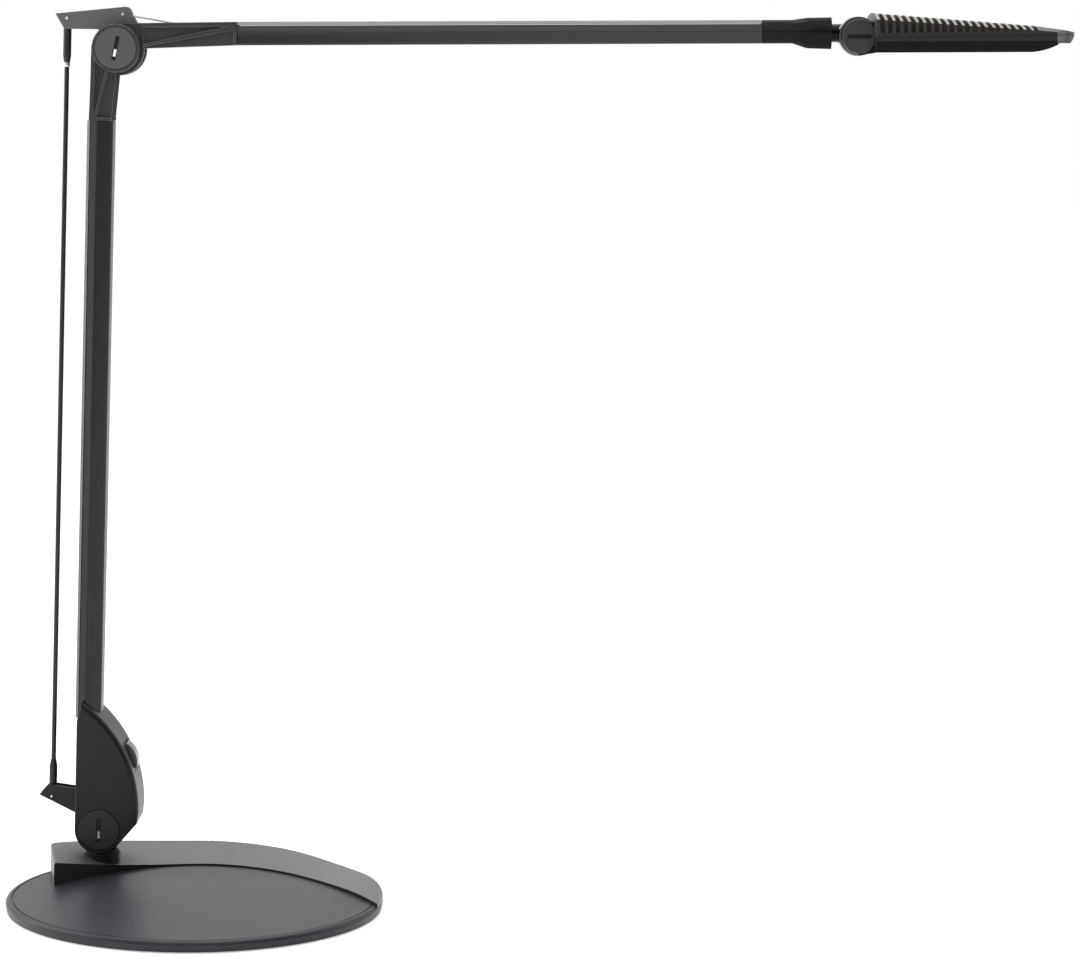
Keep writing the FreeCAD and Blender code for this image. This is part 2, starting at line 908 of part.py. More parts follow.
def push_button():
    radius = housing_arc()[1]
    top = radius + button_proud
    flange_top = radius - housing_wall - button_flange_drop
    flange_low = flange_top - button_flange_thickness
    pad = block(flange_low, top, button_half_width, -button_half_length, button_half_length)
    pad = pad.common(disc(button_dome, -button_half_width, button_half_width, top - button_dome))
    long = button_half_length + button_flange
    pad = pad.fuse(block(flange_low, flange_top, button_half_width + button_flange, -long, long))
    stem_end = radius - board_depth + board_thickness + switch_height + button_travel + cap_gap
    pad = pad.fuse(stick(button_stem, V(stem_end, 0, 0), V(flange_low, 0, 0)))
    return front_frame(pad.removeSplitter())


def control_board():
    radius = housing_arc()[1]
    low = radius - board_depth
    half = housing_half - housing_wall - seat_clearance
    return front_frame(block(low, low + board_thickness, half, -board_half_length, board_half_length))


def tact_switch():
    seat = housing_arc()[1] - board_depth + board_thickness
    body = block(seat, seat + switch_height * 0.8, switch_half, -switch_half, switch_half)
    plunger = stick(button_stem, V(seat, 0, 0), V(seat + switch_height, 0, 0))
    return front_frame(body.fuse(plunger).removeSplitter())


# Pivot hardware

def pivot_cap(radius, y_seat, y_face, slot_angle, slot_length):
    """A round cap with a coin slot, drawn on the near side."""
    cap = disc(radius, -y_face, -y_seat)
    rim = [e for e in cap.Edges if e.BoundBox.YMax < cap_edge_round / 10 - y_face]
    cap = cap.makeFillet(cap_edge_round, rim)
    slot = Part.makeBox(coin_slot_width, 2 * coin_slot_depth, slot_length)
    slot.translate(V(-coin_slot_width / 2, -y_face - coin_slot_depth, -slot_length / 2))
    slot.rotate(V(0, 0, 0), V(0, 1, 0), slot_angle)
    return cap.cut(slot)


def lower_tube_plug():
    plug = tube_spigot(lower_outer, lower_width, tube_foot, tube_foot + plug_length)
    u = tube_axis(lower_outer, lower_width)
    return plug.cut(post(plug_bore, tube_foot, tube_foot + plug_length, u))


def lower_cable_path():
    u = tube_axis(lower_outer, lower_width)
    guide = V(u, 0, tube_foot)
    rivet = V(
        anchor_ahead * math.cos(lean) - anchor_rise * math.sin(lean),
        0,
        anchor_ahead * math.sin(lean) + anchor_rise * math.cos(lean),
    )
    return [beside_rivet(rivet, guide), guide, V(u, 0, spring_start)]


# Elbow

def elbow_clevis():
    """Casting in the lower arm's tube that carries the elbow between two cheeks."""
    foot = -clevis_length
    heel = clevis_inset - lower_outer
    toe = lower_width - lower_outer - clevis_inset / 2
    body = outline(
        side,
        (heel, foot),
        (-cheek_radius, 0),
        (cheek_radius / 2, 0),
        (clevis_waist, -cheek_radius),
        (toe, foot),
    )
    clevis = across(body, -clevis_half, clevis_half)
    pocket_top = -cheek_radius / 2
    pocket_low = foot + pocket_margin
    left_pocket = outline(
        side,
        (clevis_rim - cheek_radius, pocket_top),
        (-clevis_rib_top - rib_half, pocket_top),
        (-clevis_rib_low - rib_half, pocket_low + pocket_margin),
    )
    right_pocket = outline(
        side,
        (rib_half - clevis_rib_top, pocket_top),
        (cheek_radius, pocket_top),
        (cheek_radius, pocket_low),
        (rib_half - clevis_rib_low, pocket_low),
    )
    for pocket in (left_pocket, right_pocket):
        cutter = across(pocket, -clevis_half, pocket_depth - clevis_half)
        clevis = clevis.cut(cutter).cut(mirrored(cutter))
    clevis = clevis.fuse(disc(cheek_radius, -cheek_outer, cheek_outer))
    clevis = clevis.cut(disc(drum_radius + moving_gap, -cheek_inner, cheek_inner))
    clevis = clevis.cut(block(-3 * cheek_radius, 3 * cheek_radius, cheek_inner, 0, 2 * cheek_radius))
    recess = disc(elbow_cap_radius + cap_gap, -cheek_outer, -elbow_cap_seat)
    clevis = clevis.cut(recess).cut(mirrored(recess))
    clevis = clevis.cut(disc(bolt_radius + running_clearance, -cheek_outer, cheek_outer))
    spigot = tube_spigot(lower_outer, lower_width, foot - spigot_length, foot)
    return clevis.fuse(spigot).removeSplitter().translated(V(0, 0, lower_arm_length))


def at_elbow(shape):
    return shape.translated(V(0, 0, lower_arm_length))


def elbow_spacer():
    return washer(elbow_spacer_radius, bolt_radius + running_clearance, -lug_half, lug_half)


def upper_cable_path():
    """From the bracket's rivet into the fitting's slot and on to the spring."""
    u = tube_axis(upper_outer, upper_width)
    rivet = V(
        anchor_ahead * math.sin(tilt) - anchor_rise * math.cos(tilt),
        0,
        anchor_ahead * math.cos(tilt) + anchor_rise * math.sin(tilt),
    )
    entry = V(cable_entry_depth - upper_outer, 0, cable_entry_s)
    guide = V(u, 0, fitting_length - pocket_margin)
    return [beside_rivet(rivet, entry), entry, guide, V(u, 0, spring_start)]


def upper_fitting():
    """Fork rings around the elbow and a pocketed body that the upper tube slides on."""
    nose = upper_width - upper_outer
    under = fitting_under
    top = -fitting_top
    body = outline(
        side,
        (top, fitting_start),
        (-upper_outer, fitting_length),
        (nose, fitting_length),
        (under, fitting_start),
    )
    fitting = across(body, -fitting_half, fitting_half)
    root = outline(side, (top, 0), (top, fitting_start), (under, fitting_start), (under, 0))
    fitting = fitting.fuse(across(root, -drum_outer, drum_outer))
    ring = drum_radius - math.sqrt(2) * drum_shift
    fitting = fitting.fuse(disc(ring, -drum_outer, drum_outer, drum_shift, drum_shift))
    fitting = fitting.cut(disc(bracket_clear, -drum_inner, drum_inner))
    fitting = fitting.cut(disc(bolt_radius + running_clearance, -drum_outer, drum_outer))
    pocket_end = fitting_length - pocket_margin
    over_rib = outline(
        side,
        (fitting_rim - fitting_top, fitting_start),
        (-fitting_rib_low - rib_half, fitting_start),
        (fitting_rim - fitting_top, pocket_end - 3 * pocket_margin),
    )
    below_rib = outline(
        side,
        (fitting_half, fitting_start),
        (rib_half - fitting_rib_low, fitting_start),
        (rib_half - fitting_rib_high, pocket_end),
        (fitting_half, pocket_end),
    )
    for pocket in (over_rib, below_rib):
        cutter = across(pocket, -fitting_half, pocket_depth - fitting_half)
        fitting = fitting.cut(cutter).cut(mirrored(cutter))
    spigot = tube_spigot(upper_outer, upper_width, fitting_length, fitting_length + spigot_length)
    fitting = fitting.fuse(spigot)
    floor = cable_slot_depth - upper_outer
    fitting = fitting.cut(block(-2 * upper_outer, floor, 2 * cable_bore, cable_slot_start, cable_slot_end))
    entry, guide, spring = upper_cable_path()[1:]
    bore = stick(cable_bore, entry, guide).fuse(Part.makeSphere(cable_bore, guide))
    return fitting.cut(bore).cut(stick(cable_bore, guide, spring)).removeSplitter()


# Parallelogram rod

def rod_eye(gap, length):
    """An end sleeve with its eye at the origin and the rod's socket above it."""
    barrel = post(sleeve_radius, 0, length)
    taper = Part.makeCone(sleeve_radius, sleeve_tip, sleeve_taper, V(0, 0, length))
    eye = Part.makeSphere(sleeve_radius, V(0, 0, 0))
    sleeve = barrel.fuse(taper).fuse(eye)
    socket = post(rod_radius, length / 2, length + sleeve_taper)
    hole = disc(rivet_radius + gap, -sleeve_radius, sleeve_radius)
    return sleeve.cut(socket).cut(hole).removeSplitter()


def rod_end_sleeves():
    lower = rod_eye(running_clearance, sleeve_length)
    upper = rod_eye(open_pivot_gap, upper_sleeve_length)
    upper.rotate(V(0, 0, 0), V(0, 1, 0), 180)
    upper.translate(V(0, 0, lower_arm_length))
    return Part.makeCompound([lower, upper])


def link_rod():
    return post(rod_radius, sleeve_length / 2, lower_arm_length - upper_sleeve_length / 2)


# Arm end and yoke

def arm_end_sleeve():
    """Black sleeve that carries on the arm's facets and flares towards the head."""
    depths = (0, strip_depth, edge_depth, upper_width - front_bevel, upper_width)
    halves = (strip_half, shoulder_half, edge_half, front_half, nose_half)
    wires = []
    stations = (
        (0, upper_tube_end),
        (0, sleeve_end - flare_start),
        (flare_share, sleeve_end - flare_knee),
        (1, sleeve_end),
    )
    for share, s in stations:
        grow = 1 + share * (flare_up + flare_down) / upper_width
        edge = upper_outer + share * flare_up
        points = [(depth * grow - edge, half + share * flare_side) for depth, half in zip(depths, halves)]
        loop = points + [(u, -v) for u, v in reversed(points)]
        corners = [V(u, v, s) for u, v in loop]
        wires.append(Part.makePolygon(corners + corners[:1]))
    sleeve = Part.makeLoft(wires, True, True)
    spigot = tube_spigot(upper_outer, upper_width, upper_tube_end - spigot_length, upper_tube_end)
    sleeve = sleeve.fuse(spigot)
    pocket_end = sleeve_end - roll_bore_length
    sleeve = sleeve.cut(post(roll_radius + running_clearance, pocket_end, sleeve_end, -roll_axis_height))
    pocket = post(roll_ring_radius + moving_gap, pocket_end - roll_pocket, pocket_end, -roll_axis_height)
    return sleeve.cut(pocket).removeSplitter()


def head_yoke():
    neck_end = cap_gap - sleeve_gap
    tail = roll_bore_length - cap_gap + roll_ring + roll_tail
    yoke = disc(yoke_radius, -yoke_half, yoke_half)
    shoulder = V(neck_end, 0, roll_rise)
    yoke = yoke.fuse(stick(neck_radius, shoulder, V(0, 0, roll_rise)))
    yoke = yoke.fuse(stick(roll_radius, shoulder - V(cap_gap + tail, 0, 0), shoulder))
    return yoke.cut(disc(hinge_pin_radius + running_clearance, -yoke_half, yoke_half)).removeSplitter()


def yoke_ring():
    start = V(-sleeve_gap - roll_bore_length, 0, roll_rise)
    end = start - V(roll_ring, 0, 0)
    return stick(roll_ring_radius, start, end).cut(stick(roll_radius, start, end))


# Head

def head_plan(inset):
    """The head seen from above, as a tall block."""
    tip = head_length - inset
    start = head_tip_start - inset
    side_tip = head_tip_half - inset
    face = outline(
        plan,
        (head_rear + inset, -head_half + inset),
        (start, -side_tip),
        (tip - head_tip_bow, -head_tip_share * side_tip),
        (tip, 0, tip - head_tip_bow, head_tip_share * side_tip),
        (start, side_tip),
        (head_rear + inset, head_half - inset),
    )
    return face.translated(V(0, 0, -head_half)).extrude(V(0, 0, 2 * head_half))


def seam(x):
    """Height of the seam between the shell and the heat sink."""
    share = (x - head_rear) / (head_length - head_rear)
    return -head_seam_rear + share * (head_seam_rear - head_seam_tip)


def head_shell():
    keel = outline(
        side,
        (head_rear, -head_bottom),
        (keel_end, -head_bottom),
        (keel_via, keel_sag - head_bottom, keel_rise, -tip_under),
        (head_length - tip_slant, -tip_under),
        (head_length, seam(head_length)),
        (head_rear, seam(head_rear)),
    )
    shell = across(keel, -head_half, head_half).common(head_plan(0))
    lip = head_cheek_radius
    cheek = outline(
        side,
        (0, -chin_depth),
        (head_rear + shell_wall, -head_bottom),
        (head_rear + shell_wall, seam(head_rear)),
        (0, lip),
        (-lip, 0),
    )
    cheek = across(cheek, yoke_half + head_washer, cheek_half)
    cheek = cheek.fuse(disc(head_cheek_radius, yoke_half + head_washer, cheek_half))
    shell = shell.fuse(cheek).fuse(mirrored(cheek))
    hollow = across(keel, -head_half, head_half).common(head_plan(shell_wall))
    rear = head_rear + 2 * shell_wall
    hollow = hollow.common(block(rear, keel_end, head_half, shell_floor - head_bottom, head_bottom))
    bosses = head_screw_bosses()
    shell = shell.cut(hollow.cut(bosses))
    window = block(window_start, window_end, window_half, -2 * head_bottom, head_bottom)
    lens_seat = block(
        window_start - lens_lip,
        window_end + lens_lip,
        window_half + lens_lip,
        -2 * head_bottom,
        lens_thickness - head_bottom,
    )
    shell = shell.cut(window).cut(lens_seat)
    shell = shell.cut(disc(yoke_radius + moving_gap, -yoke_half - head_washer, yoke_half + head_washer))
    shell = shell.cut(disc(hinge_pin_radius + running_clearance, -cheek_half, cheek_half))
    cap_recess = disc(head_cap_radius + cap_gap, cheek_half, cheek_half + head_cap + cap_gap)
    shell = shell.cut(cap_recess).cut(mirrored(cap_recess))
    for x, y in head_screw_places():
        shell = shell.cut(post(head_screw_radius + seat_clearance, -2 * head_bottom, head_bottom, x, y))
        head_seat = head_screw_head_height - head_bottom
        shell = shell.cut(post(head_screw_head + seat_clearance, -2 * head_bottom, head_seat, x, y))
    return shell.removeSplitter()


def head_screw_places():
    rear = head_rear + 2 * shell_wall + 0.7 * head_screw_boss
    front = keel_end - 0.7 * head_screw_boss
    width = head_tip_half - head_screw_inset
    return [(x, y) for x in (rear, front) for y in (-width, width)]


def head_screw_bosses():
    bosses = [post(head_screw_boss, -head_bottom, head_bottom, x, y) for x, y in head_screw_places()]
    return Part.makeCompound(bosses)


def head_screws():
    screws = []
    for x, y in head_screw_places():
        low = -head_bottom + head_screw_head_height
        head = post(head_screw_head, -head_bottom + cap_gap, low, x, y)
        shank = post(head_screw_radius, low, seam(x) + seam_gap + head_screw_reach, x, y)
        screws.append(head.fuse(shank).removeSplitter())
    return Part.makeCompound(screws)


def heat_sink():
    """Finned top of the head, arched across its width, smooth towards the tip."""
    rise = seam_gap
    sink = outline(
        side,
        (head_rear, seam(head_rear) + rise),
        (head_length, seam(head_length) + rise),
        (head_length - 0.5, seam(head_length) + tip_edge / 2),
        (crest_end_x, crest_end),
        (head_rear, crest_rear),
    )
    sink = across(sink, -head_half, head_half).common(head_plan(0))
    slope = V(crest_end_x - head_rear, 0, crest_end - crest_rear)
    slope.normalize()
    radius = (head_half ** 2 + crest_fall ** 2) / (2 * crest_fall)
    down = V(slope.z, 0, -slope.x)
    start = V(head_rear, 0, crest_rear) + down * radius - slope * head_length
    sink = sink.common(Part.makeCylinder(radius, 3 * head_length, start, slope))
    for number in range(fin_count):
        x = fin_start + number * fin_pitch
        floor = seam(x) + rise + sink_base
        sink = sink.cut(block(x, x + fin_slot, head_half, floor, 2 * crest_rear))
    notch = cheek_half + head_cap + cap_gap
    sink = sink.cut(disc(yoke_radius + moving_gap, -notch, notch))
    for x, y in head_screw_places():
        sink = sink.cut(post(head_screw_radius, -head_bottom, seam(x) + rise + head_screw_reach, x, y))
    return sink.removeSplitter()


def diffuser_lens():
    lip = lens_lip - seat_clearance
    low = -head_bottom
    return block(window_start - lip, window_end + lip, window_half + lip, low, low + lens_thickness)


def led_board_top(x):
    return seam(x) + seam_gap


def led_board():
    """Board clamped against the underside of the heat sink."""
    start = window_start
    end = window_end
    thick = led_board_thickness
    face = outline(
        side,
        (start, led_board_top(start)),
        (end, led_board_top(end)),
        (end, led_board_top(end) - thick),
        (start, led_board_top(start) - thick),
    )
    return across(face, -window_half, window_half)


def led_chips():
    chips = []
    for column in range(led_columns):
        for row in range(led_rows):
            x = window_start + (column + 0.5) * (window_end - window_start) / led_columns
            y = ((row + 0.5) * 2 / led_rows - 1) * window_half
            top = min(led_board_top(x - led_size), led_board_top(x + led_size)) - led_board_thickness
            chip = Part.makeBox(led_size, led_size, led_height)
            chip.translate(V(x - led_size / 2, y - led_size / 2, top - led_height))
            chips.append(chip)
    return Part.makeCompound(chips)


def head_hinge_pin():
    return disc(hinge_pin_radius, -cheek_half, cheek_half)


# Build every piece

os.makedirs("parts", exist_ok=True)

save("base_plate", base_plate())
save("base_deck", base_deck())
save("base_weight", base_weight())
save("base_bottom_cover", base_bottom_cover())
save("base_pad", base_pad())
save("base_screws", base_screws())
save("cable_grommet", cable_grommet())
save("swivel_bush", swivel_bush())

save("swivel_post", swivel_post())
save("swivel_ring", swivel_ring())
save("lower_bracket", on_turret(lower_bracket()))
save("lower_bracket_rivets", on_turret(bracket_rivets()))

near_half = housing_half_shell(True)
far_half = mirrored(housing_half_shell(False))
save("housing_near", on_lower_arm(near_half))
save("housing_far", on_lower_arm(far_half))
save("housing_screws", on_lower_arm(housing_screws()))
save("lower_pivot_bolt", on_lower_arm(disc(bolt_radius, -cap_seat, cap_seat)))
lower_washer = washer(hub_radius - 2, bolt_radius + running_clearance, -hub_face, -bracket_half)
save("lower_friction_washers", on_lower_arm(pair(lower_washer)))
lower_cap = pivot_cap(cap_radius, cap_seat, housing_half + cap_proud, 0, coin_slot_length)
save("lower_pivot_caps", on_lower_arm(pair(lower_cap)))
save("lower_arm_tube", on_lower_arm(arm_tube(lower_outer, lower_width, tube_foot, lower_tube_end)))
save("lower_cable_strip", on_lower_arm(cable_strip(lower_outer, housing_notch, lower_tube_end)))
save("lower_tube_plug", on_lower_arm(lower_tube_plug()))
save("control_board", on_lower_arm(control_board()))
save("tact_switch", on_lower_arm(tact_switch()))
save("push_button", on_lower_arm(push_button()))
save("lower_balance_spring", on_lower_arm(balance_spring(lower_outer, lower_width, lower_tube_end)))
save("lower_spring_anchor", on_lower_arm(spring_anchor(lower_outer, lower_width, lower_tube_end)))
save("lower_balance_cable", on_lower_arm(cable(lower_cable_path())))

save("elbow_clevis", on_lower_arm(elbow_clevis()))
save("elbow_pivot_bolt", on_lower_arm(at_elbow(disc(bolt_radius, -elbow_cap_seat, elbow_cap_seat))))
elbow_washer = washer(elbow_washer_radius, bolt_radius + running_clearance, -cheek_inner, -drum_outer)
save("elbow_friction_washers", on_lower_arm(at_elbow(pair(elbow_washer))))
elbow_face = cheek_outer + elbow_cap_proud
elbow_cap = pivot_cap(elbow_cap_radius, elbow_cap_seat, elbow_face, elbow_slot_angle, coin_slot_length)
save("elbow_caps", on_lower_arm(at_elbow(pair(elbow_cap))))

save("link_rod", on_rod(link_rod()))
save("rod_end_sleeves", on_rod(rod_end_sleeves()))

save("elbow_bracket", on_elbow_bracket(elbow_bracket()))
save("elbow_spacer", on_elbow_bracket(elbow_spacer()))
save("elbow_bracket_rivets", on_elbow_bracket(bracket_rivets()))

save("upper_fitting", on_upper_arm(upper_fitting()))
save("upper_arm_tube", on_upper_arm(arm_tube(upper_outer, upper_width, fitting_length, upper_tube_end)))
save("upper_cable_strip", on_upper_arm(cable_strip(upper_outer, fitting_length, upper_tube_end)))
save("upper_balance_spring", on_upper_arm(balance_spring(upper_outer, upper_width, upper_tube_end)))
save("upper_spring_anchor", on_upper_arm(spring_anchor(upper_outer, upper_width, upper_tube_end)))
save("upper_balance_cable", on_upper_arm(cable(upper_cable_path())))
save("arm_end_sleeve", on_upper_arm(arm_end_sleeve()))

save("head_yoke", on_head(head_yoke()))
save("yoke_ring", on_head(yoke_ring()))
head_ring_bore = hinge_pin_radius + running_clearance
head_ring = washer(head_washer_radius, head_ring_bore, -yoke_half - head_washer, -yoke_half)
save("head_friction_washers", on_head(pair(head_ring)))

save("head_shell", on_head(head_shell()))
save("heat_sink", on_head(heat_sink()))
save("diffuser_lens", on_head(diffuser_lens()))
save("led_board", on_head(led_board()))
save("led_chips", on_head(led_chips()))
save("head_hinge_pin", on_head(head_hinge_pin()))
head_cap_piece = pivot_cap(head_cap_radius, cheek_half, cheek_half + head_cap, 90, head_slot_length)
save("head_hinge_caps", on_head(pair(head_cap_piece)))
save("head_screws", on_head(head_screws()))
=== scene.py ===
"""Looks of a swing-arm LED desk lamp: its finishes, its softened forms and its small fittings.

Lengths in fields and constants are in millimetres, as a maker gives them. MM turns them to metres.
"""

import json
import logging
import math
from contextlib import contextmanager
from dataclasses import dataclass, field, replace
from enum import Enum
from typing import Any, Callable, ClassVar, Iterator, Sequence

import bmesh
import bpy
from mathutils import Matrix, Vector


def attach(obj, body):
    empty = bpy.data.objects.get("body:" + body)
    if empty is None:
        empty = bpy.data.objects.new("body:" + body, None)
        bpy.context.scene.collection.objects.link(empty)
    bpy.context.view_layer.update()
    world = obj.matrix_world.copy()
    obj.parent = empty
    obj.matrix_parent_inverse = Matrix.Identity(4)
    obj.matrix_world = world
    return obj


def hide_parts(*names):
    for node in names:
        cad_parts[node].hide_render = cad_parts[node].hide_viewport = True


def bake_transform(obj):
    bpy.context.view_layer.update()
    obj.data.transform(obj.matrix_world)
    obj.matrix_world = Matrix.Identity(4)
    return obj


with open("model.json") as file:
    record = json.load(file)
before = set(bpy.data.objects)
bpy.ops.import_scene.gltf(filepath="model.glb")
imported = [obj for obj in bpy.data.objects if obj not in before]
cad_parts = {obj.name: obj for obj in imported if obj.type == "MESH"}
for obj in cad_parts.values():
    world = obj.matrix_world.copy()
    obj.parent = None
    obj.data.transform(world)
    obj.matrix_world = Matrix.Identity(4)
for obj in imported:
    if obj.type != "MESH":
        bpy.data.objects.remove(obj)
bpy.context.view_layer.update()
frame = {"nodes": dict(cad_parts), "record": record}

LOG = logging.getLogger("desk_lamp")
SLOTS = {row["node"]: row["material_slot"] for row in frame["record"]["subparts"]}
MM = 0.001
# Corners closer than WELD are merged, faces that turn less than FLAT become one, and edges that
# turn more than CREASE stay crisp. An eased edge has EASED rows of faces.
WELD = 0.002 * MM
FLAT = math.radians(0.05)
CREASE = math.radians(32)
EASED = 2
# A normal with more than SQUARE along an axis faces that way, and one with less than STEEP along Z
# belongs to a wall.
SQUARE = 0.8
STEEP = 0.5
# Mottling under every finish, and the part of a fine pattern's range that holds its marks.
BROAD_MM = 70.0
BROAD_DETAIL = 2.0
MARK_RANGE = (0.3, 0.7)
# Roughness of an eased edge (rubbed wear and painted highlight) as a share of the finish around it.
RUBBED_AND_HIGHLIT_ROUGHNESS = 0.85

Node = bpy.types.Node
Object = bpy.types.Object
Point = tuple[float, float, float]
Points = tuple[Point, ...]
Ring = tuple[float, float]
Test = Callable[[Vector, Vector], bool]


def linear(colour: str) -> tuple[float, float, float, float]:
    """Turns an sRGB hex colour to linear light.

    Args:
        colour: six hex digits after a hash sign.

    Returns:
        Linear red, green, blue and an alpha of 1.
    """
    parts = [int(colour[i:i + 2], 16) / 255 for i in (1, 3, 5)]
    red, green, blue = (c / 12.92 if c <= 0.04045 else ((c + 0.055) / 1.055) ** 2.4 for c in parts)
    return red, green, blue, 1.0


def add_node(
    tree: bpy.types.NodeTree,
    kind: str,
    settings: dict[str | int, Any] | None = None,
    links: dict[str | int, bpy.types.NodeSocket] | None = None,
) -> Node:
    """Adds a shader node with its settings and links.

    Args:
        tree: the node tree that gets the node.
        kind: the node's type name.
        settings: values by property name, or by the name or number of an input.
        links: sockets that feed the inputs, by the input's name or number.

    Returns:
        The new node.
    """
    node = tree.nodes.new(kind)
    for key, value in (settings or {}).items():
        if isinstance(key, str) and hasattr(node, key):
            setattr(node, key, value)
        else:
            node.inputs[key].default_value = value
    for key, socket in (links or {}).items():
        tree.links.new(socket, node.inputs[key])
    return node


@dataclass(frozen=True)
class Marks:
    """What a way of making leaves on a surface.

    Fields give the pattern's node, the size of one mark along x, y and z, its octaves, how high it
    stands, its share of the colour change (the rest is broad mottling) and how far roughness moves.
    """

    node: str
    size: Point
    detail: float
    relief: float
    share: float
    rough_spread: float


class Surface(Enum):
    """How a surface was made."""

    # Sprayed coat: orange peel about a millimetre across.
    SPRAYED = Marks("ShaderNodeTexNoise", (1.1, 1.1, 1.1), 3.0, 0.014, 0.45, 0.05)
    # Spark-eroded mould: real grain is 0.1 mm, drawn at 0.7 mm so that it shows.
    MOULDED = Marks("ShaderNodeTexNoise", (0.7, 0.7, 0.7), 2.0, 0.022, 0.35, 0.06)
    # Drawn through a die: hair lines 0.5 mm wide that run along the piece for a hand's length.
    DRAWN = Marks("ShaderNodeTexNoise", (0.5, 0.5, 140.0), 3.0, 0.006, 0.7, 0.07)
    # Cast skin under paint: soft lumps of a millimetre and a half.
    CAST = Marks("ShaderNodeTexNoise", (1.5, 1.5, 1.5), 4.0, 0.03, 0.4, 0.07)
    # Buffed or plated: faint smears a few millimetres long.
    BUFFED = Marks("ShaderNodeTexNoise", (3.0, 3.0, 9.0), 5.0, 0.002, 0.5, 0.05)
    # Polished mould: only handling marks, a centimetre or two across.
    POLISHED = Marks("ShaderNodeTexNoise", (14.0, 14.0, 14.0), 4.0, 0.004, 0.5, 0.05)
    # Pressed rubber and felt: fine pebbles.
    PEBBLED = Marks("ShaderNodeTexVoronoi", (0.9, 0.9, 0.9), 0.0, 0.03, 0.5, 0.05)
    # Frosted sheet: a field of small prisms.
    PRISMS = Marks("ShaderNodeTexVoronoi", (1.6, 1.6, 1.6), 0.0, 0.05, 0.6, 0.06)
    # Glass cloth under lacquer: threads half a millimetre apart.
    LAMINATED = Marks("ShaderNodeTexNoise", (0.5, 4.0, 0.5), 1.0, 0.004, 0.5, 0.05)


@dataclass(frozen=True)
class Finish:
    """A real material and its surface.

    Fields give the material's name, its two colours, how it was made, the shader's constants, the
    turn of its marks about Y in degrees, and the lighter colour of its eased edges where it has
    them, which is partly rubbed wear and partly painted highlight.
    """

    name: str
    colour: str
    shade: str
    surface: Surface
    roughness: float
    metallic: float = 0.0
    ior: float | None = None
    transmission: float = 0.0
    turn: float = 0.0
    edge: str | None = None

    def rubbed_and_highlit(self) -> "Finish":
        """The eased-edge form: lighter and smoother, partly rubbed wear, partly painted highlight.
        """
        return replace(
            self, name=f"{self.name}_rubbed", colour=self.edge, shade=self.colour,
            roughness=self.roughness * RUBBED_AND_HIGHLIT_ROUGHNESS, edge=None,
        )

    def material(self) -> bpy.types.Material:
        """Makes the shader once, and gives it again when asked again.

        Returns:
            The material with its colour, roughness and relief from nodes.
        """
        made = bpy.data.materials.get(self.name)
        if made:
            return made
        made = bpy.data.materials.new(self.name)
        made.use_nodes = True
        tree = made.node_tree
        shader = tree.nodes["Principled BSDF"]
        marks = self.surface.value
        place = add_node(tree, "ShaderNodeTexCoord").outputs["Object"]
        space = add_node(
            tree, "ShaderNodeMapping",
            {
                "vector_type": "TEXTURE",
                "Rotation": (0.0, math.radians(self.turn), 0.0),
                "Scale": tuple(size * MM for size in marks.size),
            },
            {"Vector": place},
        )
        settings = {"Scale": 1.0, "Detail": marks.detail}
        pattern = add_node(tree, marks.node, settings, {"Vector": space.outputs[0]}).outputs[0]
        low, high = MARK_RANGE
        fine = add_node(
            tree, "ShaderNodeMapRange", {"From Min": low, "From Max": high}, {"Value": pattern}
        )
        broad = add_node(
            tree, "ShaderNodeTexNoise",
            {"Scale": 1 / (BROAD_MM * MM), "Detail": BROAD_DETAIL},
            {"Vector": place},
        )
        blend = add_node(
            tree, "ShaderNodeMix", {"data_type": "FLOAT", 0: marks.share},
            {2: broad.outputs[0], 3: fine.outputs[0]},
        )
        tint = add_node(
            tree, "ShaderNodeMix",
            {"data_type": "RGBA", 6: linear(self.colour), 7: linear(self.shade)},
            {0: blend.outputs[0]},
        )
        spread_by = marks.rough_spread
        rough = add_node(
            tree, "ShaderNodeMapRange",
            {"To Min": self.roughness - spread_by, "To Max": self.roughness + spread_by},
            {"Value": blend.outputs[0]},
        )
        bump = add_node(
            tree, "ShaderNodeBump", {"Distance": marks.relief * MM}, {"Height": fine.outputs[0]}
        )
        tree.links.new(tint.outputs[2], shader.inputs["Base Color"])
        tree.links.new(rough.outputs[0], shader.inputs["Roughness"])
        tree.links.new(bump.outputs[0], shader.inputs["Normal"])
        shader.inputs["Metallic"].default_value = self.metallic
        shader.inputs["Transmission Weight"].default_value = self.transmission
        if self.ior:
            shader.inputs["IOR"].default_value = self.ior
        return made

    def put_on(self, piece: Object) -> None:
        """Gives a piece this finish, with its edge form in the second slot where it has one: rubbed
        wear and painted highlight.

        Args:
            piece: the object that is dressed.
        """
        piece.data.materials.clear()
        piece.data.materials.append(self.material())
        if self.edge:
            piece.data.materials.append(self.rubbed_and_highlit().material())


# Powder-coated steel plate: dark graphite with a satin sheen that catches the room at its far edge.
PLATE_COAT = Finish("powder_coated_steel", "#3b3a40", "#313036", Surface.SPRAYED, 0.41, ior=1.38)
# Painted ABS crescent: a lighter graphite than the steel, with the same satin sheen.
DECK_COAT = Finish("painted_abs_deck", "#68686b", "#5d5d60", Surface.SPRAYED, 0.42, ior=1.5)
# The crescent's front wall: a near-black finish on its front-facing faces, painted shade that keeps
# the wall dark above the plate.
WALL_PAINTED_SHADE = Finish("deck_wall_painted_shade", "#202024", "#19191c", Surface.MOULDED, 0.55, ior=1.45)
# Moulded ABS housing: near black with a fine spark-eroded grain that keeps highlights wide.
HOUSING_ABS = Finish("moulded_abs_housing", "#1d1d20", "#18181a", Surface.MOULDED, 0.4, ior=1.38)
